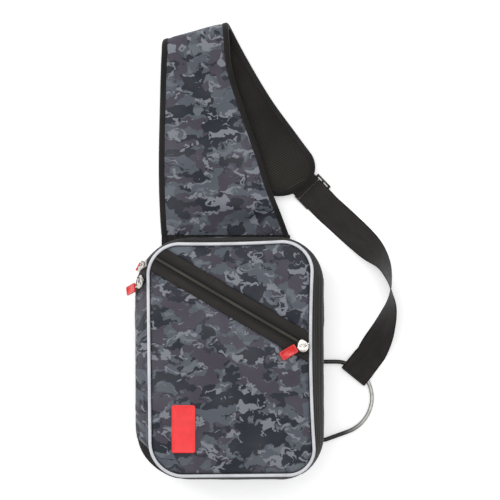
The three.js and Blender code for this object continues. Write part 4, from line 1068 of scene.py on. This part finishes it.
def gathers(x, y):
    """Small gathers where the strap's lower end is sewn into the bag's top seam."""
    near = 1 - ease((y - STRAP["start"]) / 17)
    folds = np.sin(x * GATHER_RATE + 2.2 * np.sin(x * 0.11))
    return near * (1.7 * folds + 0.8 * rumple(x, y, 5, 7.0) - 0.8)


def face_top(x, y, near):
    puff = 1.1 * ease(near / 9) + 0.9 * rumple(x, y, 46, 2.5) * ease(near / 12)
    return HALF_STRAP - 0.3 + puff + gathers(x, y)


strap_face = strap_sheet("strap_face_cloth", STRAP["binding"] - TUCKED, 44, face_top,
                         lambda x, y, near: HALF_STRAP - STRAP["face"] + 0 * x, CAMOUFLAGE)
settle(strap_face, "camouflage_fabric", "strap_face")


# Strap pad: foam behind spacer mesh, with a channel sewn all round near its edge
MESH_PITCH = 3.1
# Places along Y in millimetres between which the mesh goes from paler to darker, away from the bag: painted
# light and shade
MESH_PAINTED_LIGHT_SPAN = (205, 330)


def spacer_mesh(name):
    """Spacer mesh: slanting rows of long holes over the layer beneath, darkened with painted shade; paler
    towards the bag and darker away from it, as painted light and shade.
    """
    finish = Finish(name, 0.85, 0.2, (0.06, 0.5))
    across, up, _ = finish.parts(finish.cloth())
    first = (across + up * 0.55).waves(MESH_PITCH)
    second = (across - up * 0.55).waves(MESH_PITCH)
    holes = (first * second).step(-0.05, 0.4)
    worn = finish.noise(finish.cloth(), 40, 4)
    _, back, _ = finish.parts(finish.place())
    # Painted light and shade: paler towards the bag, darker away from it along Y
    bare = finish.mix(back.step(*MESH_PAINTED_LIGHT_SPAN), shade(60, 57, 52), shade(36, 33, 31))
    net = finish.mix(worn.step(0.3, 0.8), bare, shade(50, 47, 43))
    # Painted shade: the holes are coloured near black
    return finish.coat(finish.mix(holes, net, shade(17, 16, 15)), 1 - holes, 0.4)


def pad_face(x, y, near):
    channel = -1.1 * ridge(near, 3.6, 1.2)
    swell = 0.5 * ease((near - 4.5) / 12) + 0.5 * rumple(x, y, 40, 6.5) * ease(near / 10)
    return -(HALF_STRAP - 0.3 + channel + swell)


strap_pad = strap_sheet("strap_pad_mesh", STRAP["binding"] - TUCKED, 44,
                        lambda x, y, near: HALF_STRAP - STRAP["face"] - CLEARANCE + 0 * x, pad_face,
                        spacer_mesh("spacer_mesh"))
settle(strap_pad, "spacer_mesh", "strap_pad")


# Strap binding: black tape folded over both edges, up the left side, round the pad's end
# and down the right.
BINDING_GIRTH = 30
# The tape's section from the outer edge round: distance in from the strap's edge, and height
BINDING_ROWS = [
    (0, -1.6), (0.5, -3.2), (1.7, -4.4), (3.6, -4.75), (6.0, -4.7), (7.3, -4.4), (7.65, -3.7),
    (7.65, 3.8), (7.3, 4.6), (6.0, 4.95), (3.6, 5.0), (1.7, 4.55), (0.5, 3.3), (0, 1.7)]


def binding_tape(name):
    """Binding tape: fine cross ribs, worn in patches along it."""
    finish = Finish(name, 0.7, 0.25, (0.1, 0.4))
    along, _, _ = finish.parts(finish.cloth())
    look = finish.worn(16, (24, 22, 22), (37, 35, 34), stretch=0.4, ends=(0.3, 0.8))
    return finish.coat(look, along.waves(0.9), 0.1)


BINDING = binding_tape("binding_tape")
quarter = np.linspace(0, np.pi / 2, 22)[1:]


def binding_path(side, inset):
    """Flat places along one edge and round half of the pad's end, `inset` in from it."""
    turn = SIDES[side]["round"]
    stations = STATIONS if side == "left" else np.append(STATIONS, STRAP_END - turn)
    x, y = station_edge(side, stations, inset)
    centre = strap_edge(side, STRAP_END - turn) + SIDES[side]["inward"] * turn
    x = np.concatenate([x, centre - SIDES[side]["inward"] * (turn - inset) * np.cos(quarter)])
    y = np.concatenate([y, STRAP_END - turn + (turn - inset) * np.sin(quarter)])
    return np.stack([x, y], axis=-1)


def round_strap(inset):
    return np.concatenate([binding_path("left", inset), binding_path("right", inset)[::-1]])


binding_grid = np.stack([strap_point(*round_strap(inset).T, h) for inset, h in BINDING_ROWS], axis=1)
girth = np.linspace(0, BINDING_GIRTH, len(BINDING_ROWS) + 1)
binding_flat = np.stack(np.meshgrid(run_length(round_strap(0)), girth, indexing="ij"), axis=-1)
strap_binding = cloth_mesh("strap_binding_tape", binding_grid, binding_flat, BINDING, sharp=60)
settle(strap_binding, "black_fabric", "strap_binding")

# Its seam: a row of stitches near its inner edge, on both faces. A stitch is given as length,
# width and height, and the rows by their heights above and below the strap's middle.
STITCH = (2.1, 0.7, 0.5)
STITCH_PITCH = 3.1
STITCH_INSET = 6.3
STITCH_HEIGHTS = {1: 4.97, -1: -4.67}


def thread(name, colour):
    finish = Finish(name, 0.6, sheen=(0.1, 0.5))
    worn = finish.noise(finish.place(), 5, 2)
    finish.feed("Base Color", finish.mix(worn, shade(*colour), shade(*[c * 1.3 for c in colour])))
    return finish.material


BLACK_THREAD = thread("black_thread", (33, 31, 31))


def seam_of(name, lines):
    return row_of(name, lines, bead("stitch", *STITCH, 4, 6), STITCH_PITCH, BLACK_THREAD)


seam_lines = []
for way, h in STITCH_HEIGHTS.items():
    line = strap_point(*round_strap(STITCH_INSET).T, h)
    above = strap_point(*round_strap(STITCH_INSET).T, h + way)
    seam_lines.append((line, above - line))
settle(seam_of("strap_binding_stitches", seam_lines), "black_fabric", "strap_binding")


# Strap root: the strap's lower end is gathered into a black seam on the bag's top edge
root_ends = [crossing(lambda p: p[0] - strap_edge(side, STRAP["start"], CLEARANCE), lambda p: p[1] > 0)
             for side in ("left", "right")]
root_places = np.linspace(*root_ends, 150)
root_near = wall(root_places, STRAP["thick"], CLEARANCE)
root_far = STRAP["start"] - CLEARANCE + TUCKED
root_x = root_near[:, 0]
tuck = 0.5 * np.sin(root_x * GATHER_RATE)
# Its section, as share of the way from the bag to the strap and height
root_rows = [(0, 0.3), (0, 4.5), (0, 8.2), (0.3, 9.0), (0.7, 9.0), (1, 8.2), (1, 4.5), (1, 0.3)]
root_grid = np.stack([
    np.column_stack([root_x, root_near[:, 1] * (1 - t) + root_far * t, z + (z > 8) * (tuck - 0.5)])
    for t, z in root_rows], axis=1)
root_flat = np.stack(np.meshgrid(root_x, np.linspace(0, 22, len(root_rows) + 1), indexing="ij"), axis=-1)
strap_root = cloth_mesh("strap_root_seam", root_grid, root_flat, BLACK_CLOTH)
settle(strap_root, "black_fabric", "strap_root")


# Slide: a black metal plate with three bars between two side rims; the pad's tab goes round
# the near bar and the webbing round the middle one.
WEBBING = {"width": 38, "thick": 1.5, "stitched": 36, "end_loop": 30, "ring_reach": 11.5, "lead": 27}
SLIDE = {"ahead": 9.1, "aside": 11.1, "turn": 14, "length": 24, "bars": 3.2, "slot": 7, "bar_thick": 2}


def softened(name, node, width, segments, material, sharp=35):
    """A copy of a hard piece with its edges rounded off."""
    mesh = bpy.data.meshes.new(name)
    work = bmesh.new()
    work.from_mesh(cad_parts[node].data)
    bmesh.ops.remove_doubles(work, verts=work.verts, dist=0.01 * MM)
    bmesh.ops.dissolve_limit(work, angle_limit=math.radians(4), verts=work.verts, edges=work.edges)
    edges = [e for e in work.edges if len(e.link_faces) == 2 and e.calc_face_angle() > math.radians(sharp)]
    bmesh.ops.bevel(work, geom=edges, offset=width * MM, segments=segments, profile=0.5, affect="EDGES",
                    clamp_overlap=True)
    work.to_mesh(mesh)
    work.free()
    return finished(name, mesh, material, 50)


def metal(name, colour, dull, roughness, scratch=0.02, painted_shade_to=None):
    """Plated metal: slightly uneven in colour and gloss, with fine rubbed marks. It may
    darken towards the left, between two places along X, as painted shade."""
    finish = Finish(name, Metallic=1)
    cloud = finish.noise(finish.place(), 6, 4)
    rubbed = finish.noise(finish.place(), 0.7, 3, 4)
    look = finish.mix(cloud.step(0.3, 0.75), shade(*colour), shade(*dull))
    if painted_shade_to:
        across, _, _ = finish.parts(finish.place())
        # Painted shade: the metal goes dark towards the left, between the two places along X
        look = finish.mix(across.step(*painted_shade_to), shade(*[c * 0.36 for c in dull]), look)
    finish.feed("Roughness", rubbed * 0.12 + roughness)
    return finish.coat(look, rubbed, scratch)


slide = softened("slide_plate", "slide", 0.6, 3, metal("black_lacquer", (70, 67, 65), (44, 42, 41), 0.25))
settle(slide, "slide_metal", "slide")


# Webbing: one flat woven band. It is sewn back on itself round the slide, twists over once
# on its way and is sewn back on itself round the ring.
RING = {"wire": 5.5, "gap": 7.7, "reach": 72.3, "top": -7.3, "shoulder": -87.6, "bottom": -113.6,
        "bar_round": 9, "far_round": 48, "hook": 51}
ROUTE = np.array([
    (0, 0, 0), (0.137, 0.082, 0), (0.32, 0.186, 22), (0.443, 0.242, 55), (0.55, 0.251, 74),
    (0.646, 0.237, 90), (0.745, 0.202, 112), (0.878, 0.11, 142), (1, 0, 180)])
BAND_ACROSS = 13
pad_heading = 2 * fold_angle - math.pi / 2
pad_ahead = direction(pad_heading)
SLIDE_MIDDLE = PAD_END_PLAN + pad_ahead * SLIDE["ahead"] + left_of(pad_ahead) * SLIDE["aside"]
SLIDE_AXIS = direction(pad_heading + math.radians(SLIDE["turn"]))
SLIDE_SIDE = np.array([SLIDE_AXIS[1], -SLIDE_AXIS[0], 0])
LAYER_LOW = WEBBING["thick"] / 2 + 0.15
BAR_MIDDLE = LAYER_LOW + WEBBING["thick"] / 2 + CLEARANCE + SLIDE["bar_thick"] / 2
LAYER_HIGH = 2 * BAR_MIDDLE - LAYER_LOW
LAYER_GAP = WEBBING["thick"] + CLEARANCE
RING_HEIGHT = RING["wire"] / 2 + WEBBING["thick"] + 2 * CLEARANCE


def webbing_weave(name, colour, dark):
    """Flat nylon webbing: close ribs along it, picks across, and dark selvedges."""
    finish = Finish(name, 0.65, 0.3, (0.1, 0.35))
    along, over, _ = finish.parts(finish.cloth())
    ribs = over.waves(1.9)
    picks = (along + abs(ribs) * 0.3).waves(1.25)
    selvedge = abs(over).step(WEBBING["width"] / 2 - 1.9, WEBBING["width"] / 2 - 1.2)
    body = finish.worn(9, colour, [c * 1.3 for c in colour], stretch=0.35, ends=(0.3, 0.8))
    return finish.coat(finish.mix(selvedge, body, shade(*dark)), ribs * 0.6 + picks, 0.14)


WEBBING_WEAVE = webbing_weave("webbing_weave", (37, 34, 33), (22, 20, 19))


def slide_point(distance, z):
    plan = SLIDE_MIDDLE + SLIDE_AXIS * (distance - SLIDE["length"] / 2)
    return np.array([*plan, z])


def slide_turn(centre, way, steps=12):
    turn = (LAYER_HIGH - LAYER_LOW) / 2
    return [slide_point(centre + way * turn * math.cos(a), BAR_MIDDLE + turn * math.sin(a))
            for a in np.linspace(-math.pi / 2, math.pi / 2, steps)]


def band(name, points, widths):
    """Webbing through its middle points, each with the way its width lies."""
    points, widths = np.array(points), unit(np.array(widths))
    normal = unit(np.cross(np.gradient(points, axis=0), widths))
    share = np.linspace(-1, 1, BAND_ACROSS)
    edge = np.sqrt(np.clip(1 - np.clip((np.abs(share) - 0.93) / 0.08, 0, 1) ** 2, 0.05, 1))
    across = WEBBING["width"] / 2 * share
    middle = points[:, None] + widths[:, None] * across[:, None]
    out = normal[:, None] * (WEBBING["thick"] / 2 * edge)[:, None]
    along, over = np.meshgrid(run_length(points), across, indexing="ij")
    return two_faced(name, middle + out, middle - out, along, over, WEBBING_WEAVE, sharp=60)


# How much further than the bar's middle the pad tab's turn lies, as the tab is slack there
TAB_SLACK = 1.25
tab_points = [
    slide_point(-PAD_TAB, LAYER_LOW), slide_point(-4, LAYER_LOW), *slide_turn(SLIDE["bars"] + TAB_SLACK, 1),
    slide_point(-4, LAYER_HIGH), slide_point(-PAD_TAB + 3, LAYER_HIGH)]
settle(band("pad_tab_webbing", tab_points, [SLIDE_SIDE] * len(tab_points)), "webbing", "pad_tab")

beside_ring = crossing(lambda p: p[1] - (RING["top"] + RING["bottom"]) / 2, lambda p: p[0] > 0)
RING_BAR = float(wall(beside_ring, RING_HEIGHT)[0]) + RING["gap"]
RING_FAR = RING_BAR + RING["reach"]
RING_CENTRE = np.array([RING_FAR, RING["top"]]) - RING["far_round"]
HOOK_OUT = direction(math.radians(RING["hook"]))
HOOK_SIDE = np.array([HOOK_OUT[1], -HOOK_OUT[0], 0])


def hook_point(distance, z):
    return np.array([*(RING_CENTRE + HOOK_OUT * (RING["far_round"] + distance)), z])


def webbing_line():
    """Middle points of the webbing and the way its width lies at each."""
    near = [slide_point(WEBBING["stitched"], LAYER_LOW), slide_point(24, LAYER_LOW),
            *slide_turn(SLIDE["bars"] + SLIDE["slot"], -1)]
    length = SLIDE["length"]
    near += [slide_point(length - 4, LAYER_HIGH), slide_point(length, LAYER_HIGH),
             slide_point(length + 8, LAYER_LOW + LAYER_GAP),
             slide_point(WEBBING["stitched"], LAYER_LOW + LAYER_GAP)]
    line = [(p, SLIDE_SIDE) for p in near]
    start, end = slide_point(WEBBING["stitched"] + 6, 0), hook_point(WEBBING["lead"], 0)
    ahead = end - start
    out = np.array([-ahead[1], ahead[0], 0])
    run = np.linspace(0, 1, 110)
    plan = start + ahead * run[:, None] + out * smooth_table(ROUTE, 1, run)[:, None]
    twist = np.radians(smooth_table(ROUTE, 2, run))
    for place, way, angle in zip(plan, unit(np.gradient(plan, axis=0)), twist):
        side = np.array([way[1], -way[0], 0])
        place[2] = LAYER_LOW + WEBBING["width"] / 2 * abs(math.sin(angle))
        line.append((place, side * math.cos(angle) + np.array([0, 0, math.sin(angle)])))
    high = RING_HEIGHT + RING["wire"] / 2 + CLEARANCE + WEBBING["thick"] / 2
    low = 2 * RING_HEIGHT - high
    turn = (high - low) / 2
    centre = turn - WEBBING["ring_reach"]
    far = [hook_point(16, low + LAYER_GAP), hook_point(11, low + LAYER_GAP), hook_point(5, high)]
    far += [hook_point(centre - turn * math.cos(a), RING_HEIGHT + turn * math.sin(a))
            for a in np.linspace(math.pi / 2, -math.pi / 2, 14)]
    far += [hook_point(5, low), hook_point(WEBBING["end_loop"] - WEBBING["ring_reach"], low)]
    return line + [(p, HOOK_SIDE) for p in far]


webbing_points, webbing_widths = zip(*webbing_line())
settle(band("webbing_band", webbing_points, webbing_widths), "webbing", "webbing")

# Its seams: rows of stitches across it, where each end is sewn back on the band
WEBBING_SEAM = WEBBING["width"] / 2 - 3
seam_lines = []
top = LAYER_LOW + LAYER_GAP + WEBBING["thick"] / 2
for distance in (WEBBING["stitched"] - 3, WEBBING["stitched"] - 6.5):
    middle = slide_point(distance, top)
    seam_lines.append(([middle - SLIDE_SIDE * WEBBING_SEAM, middle + SLIDE_SIDE * WEBBING_SEAM], (0, 0, 1)))
settle(seam_of("webbing_stitches", seam_lines), "webbing", "webbing")


# Ring: a bent round bar at the bag's right side, brushed, in a cloth sleeve sewn to the bag
ring_loop = rounded_loop([
    (RING_BAR, RING["top"], RING["bar_round"]), (RING_FAR, RING["top"], RING["far_round"]),
    (RING_FAR, RING["shoulder"], RING["far_round"]), (RING_BAR, RING["bottom"], RING["bar_round"]),
], 26, 12)
# The ring darkens towards the bag, left of X 182 mm: painted shade beside the bag
RING_NICKEL = metal("ring_nickel", (205, 204, 201), (168, 166, 163), 0.38, painted_shade_to=(146, 182))
ring = round_bar("ring_bar", ring_loop, RING_HEIGHT, RING["wire"] / 2, 20, RING_NICKEL)
settle(ring, "ring_metal", "ring")
settle(softened("ring_sleeve_cloth", "ring_sleeve", 0.3, 2, BLACK_CLOTH), "black_fabric", "ring_sleeve")


# Zip pulls: a nickel slider, a round nickel eye that swings on it and a red plastic tab
NICKEL = metal("bright_nickel", (206, 202, 197), (184, 180, 175), 0.2, 0.006)
TAB_RED = red_plastic("tab_red", (218, 30, 27), 0.35, 0.2)

TAB_FIELD = 0.84
TAB_SUNK = 0.35


def sink_faces(piece, field, depth):
    """Sink a field of the two broad faces of a flat piece, inside a raised border."""
    with editing(piece.data) as work:
        for face in sorted(work.faces, key=lambda f: f.calc_area())[-2:]:
            for share, sunk in ((field, 0), (0.97, depth * MM)):
                face = bmesh.ops.extrude_discrete_faces(work, faces=[face])["faces"][0]
                face.normal_update()
                centre = face.calc_center_median()
                for vert in face.verts:
                    vert.co = centre + (vert.co - centre) * share - face.normal * sunk


for name in ("pocket", "side_upper", "side_lower"):
    for part, width, body in (("slider", 0.35, BAG), ("puller", 0.3, f"{name}_pull")):
        piece = softened(f"{name}_{part}_metal", f"{name}_{part}", width, 2, NICKEL)
        settle(piece, "zip_metal", f"{name}_{part}", body=body)
    tab = softened(f"{name}_tab_plastic", f"{name}_tab", 0.6, 3, TAB_RED)
    sink_faces(tab, TAB_FIELD, TAB_SUNK)
    settle(tab, "red_tab", f"{name}_tab", body=f"{name}_pull")
